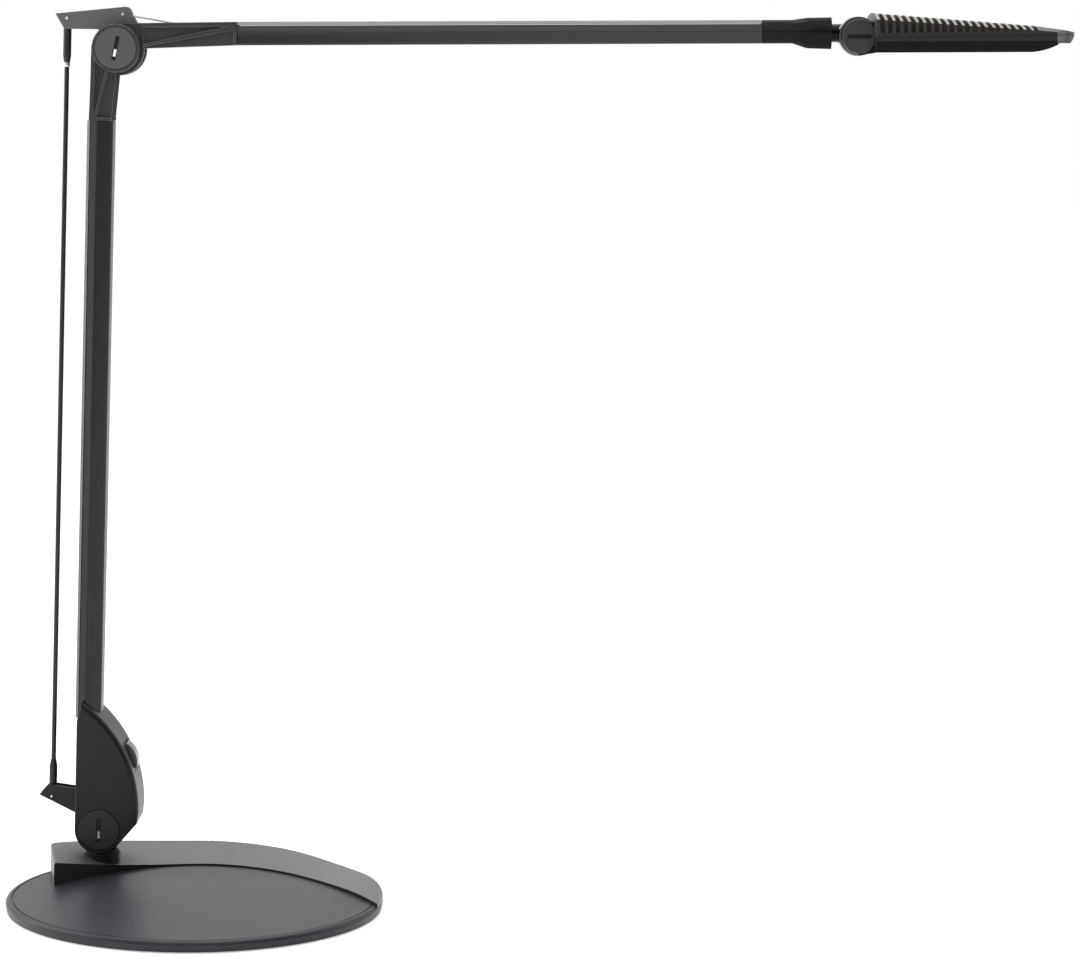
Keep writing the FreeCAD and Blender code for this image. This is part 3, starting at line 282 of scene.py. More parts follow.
# Moulded ABS caps: one plastic and grain; the foot's darker colour is painted shade, the elbow's
# lighter colour is painted light.
FOOT_CAP_SHADED = Finish(
    "moulded_abs_foot_cap_painted_shade", "#1b1b1c", "#161617", Surface.MOULDED, 0.42, ior=1.48
)
ELBOW_CAP_LIT = Finish("moulded_abs_elbow_cap_painted_light", "#626264", "#58585a", Surface.MOULDED, 0.4, ior=1.5)
HEAD_CAP_ABS = Finish("moulded_abs_head_cap", "#3f3f40", "#383839", Surface.MOULDED, 0.42, ior=1.5)
# Glossy ABS push button: a polished tool face with lighter eased edges, partly rubbed wear and
# partly painted highlight.
BUTTON_ABS = Finish(
    "polished_abs_button", "#4a4a4c", "#404042", Surface.POLISHED, 0.22, ior=1.54, edge="#8c8c8e"
)
# Grey anodised aluminium, lower arm: drawn lines and a cool metal sheen on each facet.
LOWER_TUBE = Finish(
    "anodised_aluminium_lower", "#3d3d3e", "#353536", Surface.DRAWN, 0.38, 1.0, turn=1.18
)
# Grey anodised aluminium, upper arm: the same extrusion laid along the arm.
UPPER_TUBE = replace(LOWER_TUBE, name="anodised_aluminium_upper", turn=88.96)
# Extruded PVC cover strips: satin grey, with die lines along the tube's outer side.
LOWER_STRIP = Finish(
    "extruded_pvc_lower", "#767677", "#6a6a6b", Surface.DRAWN, 0.45, ior=1.53, turn=1.18
)
UPPER_STRIP = replace(LOWER_STRIP, name="extruded_pvc_upper", turn=88.96)
# Painted zinc casting: soft cast skin under a dark satin coat, with lighter eased edges, partly
# rubbed wear and partly painted highlight.
CASTING = Finish(
    "painted_zinc_casting", "#464648", "#3c3c3e", Surface.CAST, 0.44, ior=1.36, edge="#7c7c7e"
)
# The casting's inner side, facing +X: a darker, rougher finish, painted shade so that it throws no
# sheen.
CASTING_SIDE_SHADED = Finish("zinc_casting_side_painted_shade", "#3a3a3c", "#323234", Surface.CAST, 0.8, ior=1.12)
# Painted sheet steel, one satin paint: an even grey lightened at the elbow as painted light and
# darkened at the foot as painted shade; the lighter eased edges are partly rubbed wear and partly
# painted highlight.
ELBOW_SHEET_LIT = Finish(
    "sheet_steel_elbow_painted_light", "#727275", "#686869", Surface.SPRAYED, 0.42, 0.1, edge="#7c7c7f"
)
FOOT_SHEET_SHADED = Finish(
    "sheet_steel_foot_painted_shade", "#29292b", "#232325", Surface.SPRAYED, 0.45, ior=1.4, edge="#4a4a4c"
)
# Blackened zinc post: a dull cast skin that stays in the shade of the housing.
POST = Finish("blackened_zinc_casting", "#29292c", "#222224", Surface.CAST, 0.6)
# Black lacquered steel rod: one thin line of light along it.
ROD = Finish("lacquered_steel_rod", "#19191a", "#131314", Surface.SPRAYED, 0.35, ior=1.48)
# Black PVC boots on the rod's ends: soft and dull.
BOOT = Finish("soft_pvc_boot", "#171718", "#101011", Surface.MOULDED, 0.5, ior=1.5)
# Black nylon sleeve and neck at the arm's end: deep black with a low, tight sheen.
NYLON = Finish("moulded_nylon", "#0b0b0c", "#080809", Surface.MOULDED, 0.22, ior=1.22)
# Black high-gloss ABS head shell: only handling marks break its reflections.
GLOSS = Finish("polished_black_abs", "#121213", "#0d0d0e", Surface.POLISHED, 0.24, ior=1.42)
# The band on both sides of the head's seam: one satin tone, paler than the gloss shell, a painted
# highlight stripe.
SEAM_BAND_HIGHLIGHT = Finish("satin_abs_seam_painted_highlight", "#2e2e2f", "#272728", Surface.POLISHED, 0.38, ior=1.46)
# Black anodised aluminium heat sink: dark slots and fins.
SINK = Finish("anodised_heat_sink", "#46413d", "#36322f", Surface.BUFFED, 0.42, 0.3)
# Fin crests facing up: a pale warm metal, a painted highlight of the bright room above them.
FIN_CREST_HIGHLIGHT = Finish("fin_crests_painted_highlight", "#a39c94", "#868079", Surface.BUFFED, 0.34, 1.0)
# Chromed zinc yoke: nearly a mirror.
CHROME = Finish("chromed_zinc", "#b9b9bc", "#a2a2a5", Surface.BUFFED, 0.14, 1.0)
# Nickel-plated rivet cores, spring tongues and ferrule: small bright points.
NICKEL = Finish("nickel_plated_steel", "#e4e2de", "#d2d0cc", Surface.BUFFED, 0.3, 1.0)
# Zinc-plated screws, bolts and covers: a pale, slightly smeared metal.
ZINC = Finish("zinc_plated_steel", "#b4b5b6", "#9d9fa1", Surface.BUFFED, 0.32, 1.0)
# Oiled spring steel: a darker metal with the same smears.
SPRING = Finish("spring_steel", "#77777a", "#646467", Surface.BUFFED, 0.3, 1.0)
# Steel wire: a pale colour with little metal, a painted reflection of the bright room, with no
# mirror shine.
WIRE_PAINTED_REFLECTION = Finish("steel_wire_painted_reflection", "#ebebeb", "#dadada", Surface.BUFFED, 0.5, 0.2)
# Grey cast iron: a rough, dull skin.
IRON = Finish("grey_cast_iron", "#4c4b4a", "#3c3b3a", Surface.CAST, 0.62, 1.0)
# Black pressed rubber: fine pebbles and no shine.
RUBBER = Finish("pressed_rubber", "#1d1d1d", "#141414", Surface.PEBBLED, 0.75, ior=1.52)
# Black acetal bushes, plugs and slot plates: a waxy black, which in the slots is painted shade.
ACETAL = Finish("black_acetal", "#141415", "#0f0f10", Surface.MOULDED, 0.5, ior=1.45)
# Opal acrylic: a frosted sheet that hides the chips.
OPAL = Finish(
    "frosted_acrylic", "#eceae4", "#dfddd6", Surface.PRISMS, 0.48, ior=1.49, transmission=0.25
)
# Glass-epoxy boards, green for control and white for light: threads show under the lacquer.
BOARD = Finish("glass_epoxy_green", "#1d5a36", "#174a2c", Surface.LAMINATED, 0.35, ior=1.55)
LED_BOARD = Finish("glass_epoxy_white", "#e8e8e6", "#dcdcd9", Surface.LAMINATED, 0.4, ior=1.55)
# Yellow phosphor under silicone: smooth, with a soft gloss.
PHOSPHOR = Finish("phosphor_silicone", "#e6c34a", "#d9b23a", Surface.POLISHED, 0.35, ior=1.41)


def only(piece: Object) -> None:
    """Deselects everything, then selects one object and makes it active.

    Args:
        piece: the object.
    """
    bpy.ops.object.select_all(action="DESELECT")
    piece.select_set(True)
    bpy.context.view_layer.objects.active = piece


@contextmanager
def editing(piece: Object) -> Iterator[None]:
    """Holds a piece open in edit mode.

    Args:
        piece: the object.

    Returns:
        A context that closes edit mode at its end.
    """
    only(piece)
    bpy.ops.object.mode_set(mode="EDIT")
    yield
    bpy.ops.object.mode_set(mode="OBJECT")


def pick_faces(piece: Object, test: Test) -> None:
    """Selects faces in edit mode by their place and normal.

    Args:
        piece: the object that is open in edit mode.
        test: says, from a face's centre and normal, whether it is wanted.
    """
    bpy.ops.mesh.select_mode(type="FACE")
    bpy.ops.mesh.select_all(action="DESELECT")
    mesh = bmesh.from_edit_mesh(piece.data)
    for face in mesh.faces:
        face.select_set(test(face.calc_center_median(), face.normal))
    bmesh.update_edit_mesh(piece.data)


def modify(piece: Object, kind: str, **settings: Any) -> None:
    """Adds a modifier to a piece and applies it.

    Args:
        piece: the object that is changed.
        kind: the modifier's type.
        settings: the modifier's properties.
    """
    only(piece)
    modifier = piece.modifiers.new(kind.lower(), kind)
    for key, value in settings.items():
        setattr(modifier, key, value)
    bpy.ops.object.modifier_apply(modifier=modifier.name)


def smooth(piece: Object) -> None:
    """Shades a piece smoothly between creases, with its flat faces kept flat.

    Args:
        piece: the object.
    """
    only(piece)
    bpy.ops.object.shade_smooth_by_angle(angle=CREASE)
    modify(piece, "WEIGHTED_NORMAL", keep_sharp=True)


def coat_faces(piece: Object, finish: Finish, test: Test) -> None:
    """Gives some faces of a piece another finish.

    Args:
        piece: the object, which already has its main finish.
        finish: the finish of the chosen faces.
        test: says, from a face's centre and normal, whether it is chosen.
    """
    piece.data.materials.append(finish.material())
    piece.active_material_index = len(piece.data.materials) - 1
    with editing(piece):
        pick_faces(piece, test)
        bpy.ops.object.material_slot_assign()


def turned(name: str, rings: Sequence[Ring], sides: int = 32) -> Object:
    """Turns a solid about Z: a disc is extruded and scaled from ring to ring.

    Args:
        name: the new object's name.
        rings: radius and height of each ring, from the lowest to the highest.
        sides: the number of faces round the solid.

    Returns:
        The solid.
    """
    radius, height = rings[0]
    bpy.ops.object.select_all(action="DESELECT")
    bpy.ops.mesh.primitive_circle_add(
        vertices=sides, radius=radius * MM, fill_type="NGON", location=(0, 0, height * MM)
    )
    piece = bpy.context.object
    piece.name = name
    bpy.ops.object.transform_apply(location=True, rotation=True, scale=True)
    with editing(piece):
        bpy.ops.mesh.select_all(action="SELECT")
        for wide, high in rings[1:]:
            rise = (0, 0, (high - height) * MM)
            bpy.ops.mesh.extrude_region_move(TRANSFORM_OT_translate={"value": rise})
            grow = wide / radius
            bpy.ops.transform.resize(value=(grow, grow, 1), center_override=(0, 0, high * MM))
            radius, height = wide, high
        bpy.ops.mesh.select_all(action="SELECT")
        bpy.ops.mesh.normals_make_consistent(inside=False)
    return piece


def block(name: str, size: Point, centre: Point, round_mm: float) -> Object:
    """Makes a bar with rounded edges.

    Args:
        name: the new object's name.
        size: its sides.
        centre: its middle.
        round_mm: the width of its rounded edges.

    Returns:
        The bar.
    """
    bpy.ops.object.select_all(action="DESELECT")
    bpy.ops.mesh.primitive_cube_add(size=MM, location=[c * MM for c in centre])
    piece = bpy.context.object
    piece.name = name
    with editing(piece):
        bpy.ops.mesh.select_all(action="SELECT")
        bpy.ops.transform.resize(value=size, center_override=[c * MM for c in centre])
        bpy.ops.mesh.bevel(offset=round_mm * MM, segments=EASED, affect="EDGES")
    bpy.ops.object.transform_apply(location=True, rotation=True, scale=True)
    return piece


def twin(piece: Object, name: str) -> Object:
    """Copies a piece with its own mesh.

    Args:
        piece: the object.
        name: the copy's name.

    Returns:
        The copy.
    """
    copy = bpy.data.objects.new(name, piece.data.copy())
    bpy.context.scene.collection.objects.link(copy)
    return copy


def welded(node: str, name: str, flat: bool = False) -> Object:
    """Copies a CAD node and merges its loose triangles.

    Args:
        node: the CAD node.
        name: the copy's name.
        flat: whether faces in one plane become one.

    Returns:
        The copy.
    """
    piece = twin(frame["nodes"][node], name)
    only(piece)
    bpy.ops.mesh.customdata_custom_splitnormals_clear()
    with editing(piece):
        bpy.ops.mesh.select_all(action="SELECT")
        bpy.ops.mesh.remove_doubles(threshold=WELD)
        if flat:
            bpy.ops.mesh.dissolve_limited(angle_limit=FLAT)
    return piece


def lay(piece: Object, place: Point, axis: Point, spin: float = 0.0) -> Object:
    """Turns a piece's Z axis to a direction and moves it to a place, all in its mesh.

    Args:
        piece: the object, drawn at the origin.
        place: where its origin goes.
        axis: the direction that its Z axis takes.
        spin: degrees that it first turns about its own Z axis.

    Returns:
        The same piece.
    """
    turn = Vector(axis).to_track_quat("Z", "Y").to_matrix().to_4x4()
    first = Matrix.Rotation(math.radians(spin), 4, "Z")
    piece.matrix_world = Matrix.Translation(Vector(place) * MM) @ turn @ first
    only(piece)
    bpy.ops.object.transform_apply(location=True, rotation=True, scale=True)
    return piece


def joined(name: str, pieces: list[Object]) -> Object:
    """Joins pieces into the first one and names it.

    Args:
        name: the name of the result.
        pieces: the objects.

    Returns:
        The first piece.
    """
    bpy.ops.object.select_all(action="DESELECT")
    for piece in pieces:
        piece.select_set(True)
    bpy.context.view_layer.objects.active = pieces[0]
    bpy.ops.object.join()
    pieces[0].name = name
    return pieces[0]


def spread(name: str, first: Object, places: Points, axis: Point) -> Object:
    """Lays a piece and its copies at several places.

    Args:
        name: the group's name.
        first: the piece, drawn at the origin.
        places: where each one goes.
        axis: the direction that their Z axes take.

    Returns:
        The group as one piece.
    """
    copies = [lay(twin(first, name), place, axis) for place in places[1:]]
    return joined(name, [lay(first, places[0], axis), *copies])


@dataclass
class Studio:
    """Camera, floor and soft light around the lamp.

    Each light has its place, the point it faces, its side and its watts. The room dims to room_dim
    as a direction's y falls through room_front, and to room_right as its x rises through room_side.
    The floor's own glow goes from glow_near to glow_far over glow_reach.
    """

    eye: Point = (211.3, -2196.7, 541.9)
    pitch: float = 0.1223
    roll: float = 0.0148
    focal: float = 120.0
    sensor: float = 36.0
    view_depth: float = 100000.0
    floor_radius: float = 9000.0
    floor_sides: int = 96
    floor_colour: str = "#f4f4f4"
    room_dim: float = 0.1
    room_front: tuple[float, float] = (-0.4, 0.3)
    room_right: float = 0.55
    room_side: tuple[float, float] = (0.15, 0.8)
    glow_near: float = 0.42
    glow_far: float = 0.62
    glow_reach: tuple[float, float] = (300.0, 2200.0)
    lamps: dict[str, tuple[Point, Point, float, float]] = field(default_factory=lambda: {
        "overhead": ((150.0, 400.0, 1900.0), (150.0, 60.0, 300.0), 1500.0, 16.0),
        "left": ((-1500.0, 350.0, 900.0), (0.0, 60.0, 300.0), 1000.0, 11.0),
        "right": ((1700.0, 700.0, 950.0), (0.0, 60.0, 200.0), 800.0, 3.2),
        "left_front": ((-1400.0, -800.0, 420.0), (-70.0, 60.0, 300.0), 700.0, 2.9),
        "front_top": ((200.0, -730.0, 1800.0), (150.0, 60.0, 420.0), 900.0, 5.6),
        "front_high": ((-250.0, -1300.0, 1150.0), (-50.0, 60.0, 530.0), 500.0, 2.2),
    })

    def build(self) -> None:
        """Sets up the camera, the floor, the lamps and the room."""
        bpy.context.scene.view_settings.view_transform = "Standard"
        self.camera()
        self.floor()
        for name, (place, target, size, power) in self.lamps.items():
            self.lamp(name, place, target, size, power)
        self.room()

    def camera(self) -> None:
        """Places the camera at the photograph's angle."""
        ahead = Vector((0.0, math.cos(self.pitch), -math.sin(self.pitch)))
        level = Vector((1.0, 0.0, 0.0))
        upright = level.cross(ahead)
        right = level * math.cos(self.roll) + upright * math.sin(self.roll)
        up = upright * math.cos(self.roll) - level * math.sin(self.roll)
        turn = Matrix((right, up, -ahead)).transposed().to_4x4()
        data = bpy.data.cameras.new("camera")
        data.sensor_fit = "HORIZONTAL"
        data.sensor_width = self.sensor
        data.lens = self.focal
        data.clip_end = self.view_depth * MM
        camera = bpy.data.objects.new("camera", data)
        bpy.context.scene.collection.objects.link(camera)
        camera.matrix_world = Matrix.Translation(Vector(self.eye) * MM) @ turn
        bpy.context.scene.camera = camera

    def floor(self) -> None:
        """Lays a pale floor that looks white and keeps the lamp's shadow."""
        bpy.ops.mesh.primitive_circle_add(
            vertices=self.floor_sides, radius=self.floor_radius * MM,
            fill_type="NGON", location=(0, 0, 0),
        )
        floor = bpy.context.object
        floor.name = "floor"
        made = bpy.data.materials.new("painted_floor")
        made.use_nodes = True
        tree = made.node_tree
        tree.nodes.remove(tree.nodes["Principled BSDF"])
        seen = self.seen(tree)
        paint = add_node(tree, "ShaderNodeBsdfDiffuse", {"Color": linear(self.floor_colour)})
        place = add_node(tree, "ShaderNodeTexCoord").outputs["Object"]
        away = add_node(tree, "ShaderNodeVectorMath", {"operation": "LENGTH"}, {0: place})
        near, far = self.glow_reach
        level = add_node(
            tree, "ShaderNodeMapRange",
            {"From Min": near * MM, "From Max": far * MM,
             "To Min": self.glow_near, "To Max": self.glow_far},
            {"Value": away.outputs["Value"]},
        )
        share = add_node(
            tree, "ShaderNodeMath", {"operation": "MULTIPLY"}, {0: seen, 1: level.outputs[0]}
        )
        glow = add_node(tree, "ShaderNodeEmission", links={"Strength": share.outputs[0]})
        both = add_node(
            tree, "ShaderNodeAddShader", links={0: paint.outputs[0], 1: glow.outputs[0]}
        )
        tree.links.new(both.outputs[0], tree.nodes["Material Output"].inputs["Surface"])
        floor.data.materials.append(made)

    def seen(self, tree: bpy.types.NodeTree) -> bpy.types.NodeSocket:
        """Gives 1 where the camera, a reflection or a clear piece looks at the stage.

        Args:
            tree: the node tree that gets the test.

        Returns:
            The socket with the result.
        """
        path = add_node(tree, "ShaderNodeLightPath").outputs
        first = add_node(
            tree, "ShaderNodeMath", {"operation": "MAXIMUM"},
            {0: path["Is Camera Ray"], 1: path["Is Glossy Ray"]},
        )
        return add_node(
            tree, "ShaderNodeMath", {"operation": "MAXIMUM"},
            {0: first.outputs[0], 1: path["Is Transmission Ray"]},
        ).outputs[0]

    def lamp(self, name: str, place: Point, target: Point, size: float, power: float) -> None:
        """Hangs a soft square lamp.

        Args:
            name: the lamp's name.
            place: where it hangs.
            target: the point it faces.
            size: its side.
            power: its watts.
        """
        data = bpy.data.lights.new(name, "AREA")
        data.size = size * MM
        data.energy = power
        lamp = bpy.data.objects.new(name, data)
        bpy.context.scene.collection.objects.link(lamp)
        aim = (Vector(target) - Vector(place)).to_track_quat("-Z", "Y")
        lamp.matrix_world = Matrix.Translation(Vector(place) * MM) @ aim.to_matrix().to_4x4()

    def room(self) -> None:
        """Makes the room: white behind the lamp, dim to the right and where the camera stands."""
        world = bpy.data.worlds.new("room")
        bpy.context.scene.world = world
        world.use_nodes = True
        tree = world.node_tree
        sky = tree.nodes["Background"]
        direction = add_node(tree, "ShaderNodeTexCoord").outputs["Generated"]
        axes = add_node(tree, "ShaderNodeSeparateXYZ", links={0: direction})
        low, high = self.room_front
        depth = add_node(
            tree, "ShaderNodeMapRange",
            {"interpolation_type": "SMOOTHSTEP", "From Min": low, "From Max": high,
             "To Min": self.room_dim, "To Max": 1.0},
            {"Value": axes.outputs["Y"]},
        )
        low, high = self.room_side
        right = add_node(
            tree, "ShaderNodeMapRange",
            {"interpolation_type": "SMOOTHSTEP", "From Min": low, "From Max": high,
             "To Min": 1.0, "To Max": self.room_right},
            {"Value": axes.outputs["X"]},
        )
        light = add_node(
            tree, "ShaderNodeMath", {"operation": "MULTIPLY"},
            {0: depth.outputs[0], 1: right.outputs[0]},
        )
        path = add_node(tree, "ShaderNodeLightPath").outputs
        level = add_node(
            tree, "ShaderNodeMath", {"operation": "MAXIMUM"},
            {0: light.outputs[0], 1: path["Is Camera Ray"]},
        )
        sky.inputs["Color"].default_value = (1.0, 1.0, 1.0, 1.0)
        tree.links.new(level.outputs[0], sky.inputs["Strength"])


@dataclass
class SubAssembly:
    """Pieces that move together on one body."""

    body: ClassVar[str]
    finishes: ClassVar[dict[str, Finish]]
    edges: ClassVar[dict[str, float]] = {}
    flat: ClassVar[frozenset[str]] = frozenset()

    def build(self) -> None:
        """Dresses the CAD nodes, softens those that have an edge width and adds the fittings."""
        for node, finish in self.finishes.items():
            if node in self.edges:
                self.soften(node, finish, self.edges[node])
            else:
                finish.put_on(frame["nodes"][node])
                LOG.info("dressed %s", node)
        self.fit()

    def fit(self) -> None:
        """Adds this sub-assembly's own small pieces, where it has them."""

    def soften(self, node: str, finish: Finish, edge: float) -> None:
        """Replaces a CAD node by a copy with welded faces and eased edges.

        Args:
            node: the CAD node.
            finish: the copy's finish.
            edge: the width of its eased edges, or 0 for smooth shading alone.
        """
        piece = welded(node, f"{node}_soft", node in self.flat)
        finish.put_on(piece)
        if edge:
            # Eased edges take the finish's second slot: a lighter colour, partly rubbed wear and
            # partly painted highlight.
            modify(
                piece, "BEVEL", width=edge * MM, segments=EASED, limit_method="ANGLE",
                angle_limit=CREASE, use_clamp_overlap=False, material=1 if finish.edge else -1,
            )
        smooth(piece)
        self.finer(piece, node)
        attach(piece, self.body)
        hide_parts(node)
        LOG.info("made %s for %s", piece.name, node)

    def finer(self, piece: Object, node: str) -> None:
        """Works on one softened piece, where it needs more than eased edges.

        Args:
            piece: the softened copy.
            node: the CAD node that it stands for.
        """

    def add(self, piece: Object, slot: str, *nodes: str) -> None:
        """Puts a new piece on this body.

        Args:
            piece: the finished piece.
            slot: the material slot that the record gives it; not used.
            nodes: the CAD nodes that it stands for, if any.
        """
        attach(piece, self.body)
        if nodes:
            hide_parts(*nodes)
        LOG.info("made %s", piece.name)


@dataclass(frozen=True)
class Rivet:
    """Semi-tubular rivet with painted heads and a bright core.

    Rings give the radius and the height of its upper half, from the shank to the core's tip.
    """

    rings: Sequence[Ring] = (
        (1.2, 4.5), (2.0, 4.5), (2.0, 4.65), (1.6, 4.8), (1.15, 4.9), (0.9, 4.75), (0.85, 4.92),
        (0.6375, 5.06), (0.34, 5.22), (0.102, 5.28),
    )
    sides: int = 24
    core: float = 0.87
    core_low: float = 4.5

    def make(self, name: str, places: Points, paint: Finish) -> Object:
        """Makes a group of rivets that lie along Y.

        Args:
            name: the group's name.
            places: the middle of each rivet.
            paint: the finish of the heads.

        Returns:
            The group as one piece.
        """
        lower = [(wide, -high) for wide, high in reversed(self.rings)]
        first = turned(name, [*lower, *self.rings], self.sides)
        paint.put_on(first)
        coat_faces(first, NICKEL, self.in_core)
        smooth(first)
        return spread(name, first, places, (0, 1, 0))

    def in_core(self, place: Vector, normal: Vector) -> bool:
        """Says whether a face belongs to the bright core."""
        return abs(place.z) > self.core_low * MM and place.xy.length < self.core * MM


@dataclass(frozen=True)
class SlotShadePlate:
    """Black plate in the foot of a coin slot, painted shade for the slot's depth, with a bright
    spring tongue in its lower half.
    """

    plate: Point = (2.3, 14.3, 0.3)
    plate_round: float = 0.1
    tongue: Point = (1.9, 4.8, 0.5)
    tongue_round: float = 0.2
    tongue_drop: float = 3.0
    tongue_lift: float = 0.55
    tongue_tilt: float = 13.0

    def make(self, name: str, places: Points, lean: float, sprung: bool = True) -> Object:
        """Makes the plates of a near and a far cap.

        Args:
            name: the pair's name.
            places: the middle of the near and of the far slot's floor.
            lean: degrees that the slot leans to the right at its top.
            sprung: whether the plates carry a tongue.

        Returns:
            The pair as one piece.
        """
        foot = block(name, self.plate, (0, 0, self.plate[2] / 2), self.plate_round)
        ACETAL.put_on(foot)
        smooth(foot)
        parts = [foot]
        if sprung:
            tongue = block("tongue", self.tongue, (0, 0, 0), self.tongue_round)
            NICKEL.put_on(tongue)
            smooth(tongue)
            tilt = math.radians(self.tongue_tilt)
            place = (0, -self.tongue_drop, self.tongue_lift)
            parts.append(lay(tongue, place, (0, math.sin(tilt), math.cos(tilt))))
        near = joined(name, parts)
        far = lay(twin(near, name), places[1], (0, 1, 0), lean)
        return joined(name, [lay(near, places[0], (0, -1, 0), -lean), far])


@dataclass(frozen=True)
class CrossScrew:
    """Pan-head screw with a cross recess.

    The crown's rings and the recess's arm and width are shares of the head's size, and the tip is a
    share of the shank's.
    """

    head: float
    height: float
    shank: float
    length: float
    tip: float = 0.5
    crown: Sequence[Ring] = ((1.0, 0.5), (0.88, 0.85), (0.6, 1.0))
    recess: float = 0.7
    recess_arm: float = 1.3
    recess_width: float = 0.32
    recess_round: float = 0.03

    def make(self, name: str, places: Points, axis: Point) -> Object:
        """Makes a group of screws.

        Args:
            name: the group's name.
            places: where each screw's head meets its shank.
            axis: the direction that the heads face.

        Returns:
            The group as one piece.
        """
        crown = [(wide * self.head, high * self.height) for wide, high in self.crown]
        first = turned(name, [
            (self.tip * self.shank, -self.length), (self.shank, -self.length + self.shank),
            (self.shank, 0), (self.head, 0), *crown,
        ])
        ZINC.put_on(first)
        arm, width = self.recess_arm * self.head, self.recess_width * self.head
        for across, along in ((arm, width), (width, arm)):
            size = (across, along, 2 * self.recess)
            cutter = block("recess", size, (0, 0, self.height), self.recess_round)
            modify(first, "BOOLEAN", operation="DIFFERENCE", object=cutter, solver="EXACT")
            bpy.data.objects.remove(cutter)
        smooth(first)
        return spread(name, first, places, axis)


@dataclass(frozen=True)
class WireRope:
    """Stranded steel rope: a lobed section that turns as it is drawn out."""

    radius: float = 0.6
    strands: int = 6
    groove: float = 0.72
    pitch: float = 9.0
    step: float = 0.8

    def make(self, name: str, route: Points) -> Object:
        """Makes a rope that runs straight from point to point.

        Args:
            name: the rope's name.
            route: its points.

        Returns:
            The rope.
        """
        runs = [self.run(name, Vector(a), Vector(b)) for a, b in zip(route, route[1:])]
        rope = joined(name, runs)
        WIRE_PAINTED_REFLECTION.put_on(rope)
        smooth(rope)
        return rope

    def run(self, name: str, start: Vector, end: Vector) -> Object:
        """Draws one straight run of the rope.

        Args:
            name: the run's name.
            start: where it begins.
            end: where it ends.

        Returns:
            The run.
        """
        span = end - start
        count = max(1, round(span.length / self.step))
        rise = span.length / count * MM
        bpy.ops.object.select_all(action="DESELECT")
        bpy.ops.mesh.primitive_circle_add(
            vertices=2 * self.strands, radius=self.radius * MM, fill_type="NGON"
        )
        piece = bpy.context.object
        piece.name = name
        with editing(piece):
            bpy.ops.mesh.select_mode(type="VERT")
            bpy.ops.mesh.select_all(action="DESELECT")
            mesh = bmesh.from_edit_mesh(piece.data)
            for vertex in mesh.verts:
                vertex.select_set(vertex.index % 2 == 1)
            bmesh.update_edit_mesh(piece.data)
            bpy.ops.transform.resize(value=(self.groove, self.groove, 1), center_override=(0, 0, 0))
            bpy.ops.mesh.select_mode(type="FACE")
            bpy.ops.mesh.select_all(action="SELECT")
            for number in range(1, count + 1):
                bpy.ops.mesh.extrude_region_move(TRANSFORM_OT_translate={"value": (0, 0, rise)})
                bpy.ops.transform.rotate(
                    value=2 * math.pi * rise / (self.pitch * MM), orient_axis="Z",
                    center_override=(0, 0, number * rise),
                )
            bpy.ops.mesh.select_all(action="SELECT")
            bpy.ops.mesh.normals_make_consistent(inside=False)
        return lay(piece, tuple(start), tuple(span))


@dataclass
class Base(SubAssembly):
    """Weighted round foot with its raised crescent deck.

    The deck's rim lies above rim_low, outside rim_reach or left of end_wall, and turns outward by
    rim_facing. Its front wall lies right of wall_start, and its normal has less than wall_upright
    along Z and more than wall_front towards the front.
    """

    body = "base"
    finishes = {
        "base_plate": PLATE_COAT, "base_deck": DECK_COAT, "base_weight": IRON,
        "base_bottom_cover": ZINC, "base_pad": RUBBER, "base_screws": ZINC,
        "cable_grommet": RUBBER, "swivel_bush": ACETAL,
    }
    edges = {
        "base_plate": 0.0, "base_deck": 0.0, "cable_grommet": 0.5, "base_pad": 0.3,
        "swivel_bush": 0.2,
    }
    flat = frozenset({"base_pad"})
    rim_round: float = 1.6
    rim_steps: int = 4
    rim_low: float = 9.4
    rim_reach: float = 108.0
    rim_facing: float = 0.3
    end_wall: float = -88.0
    wall_start: float = -97.5
    wall_upright: float = 0.3
    wall_front: float = 0.35

    def on_rim(self, edge: bmesh.types.BMEdge) -> bool:
        """Says whether an edge of the deck lies between its top and its outer wall.

        Args:
            edge: the edge, in edit mode.

        Returns:
            Whether it is an edge of the rim.
        """
        if len(edge.link_faces) != 2:
            return False
        wall, top = sorted((face.normal for face in edge.link_faces), key=lambda normal: normal.z)
        place = (edge.verts[0].co + edge.verts[1].co) / 2
        crisp = top.z > SQUARE and wall.z < STEEP and place.z > self.rim_low * MM
        outward = place.xy.normalized().dot(wall.xy) > self.rim_facing
        at_end = place.x < self.end_wall * MM and wall.x < -SQUARE
        return crisp and outward and (at_end or place.xy.length > self.rim_reach * MM)

    def on_wall(self, place: Vector, normal: Vector) -> bool:
        """Says whether a face belongs to the deck's front wall, which gets painted shade."""
        upright = abs(normal.z) < self.wall_upright and normal.y < -self.wall_front
        return upright and place.x > self.wall_start * MM

    def finer(self, piece: Object, node: str) -> None:
        """Rounds the deck's outer rim and gives its front wall a near-black finish as painted
        shade.

        Args:
            piece: the softened copy.
            node: the CAD node that it stands for.
        """
        if node != "base_deck":
            return
        with editing(piece):
            bpy.ops.mesh.select_mode(type="EDGE")
            bpy.ops.mesh.select_all(action="DESELECT")
            mesh = bmesh.from_edit_mesh(piece.data)
            for edge in mesh.edges:
                edge.select_set(self.on_rim(edge))
            bmesh.update_edit_mesh(piece.data)
            bpy.ops.mesh.bevel(
                offset=self.rim_round * MM, segments=self.rim_steps, affect="EDGES",
                clamp_overlap=False,
            )
        smooth(piece)
        coat_faces(piece, WALL_PAINTED_SHADE, self.on_wall)


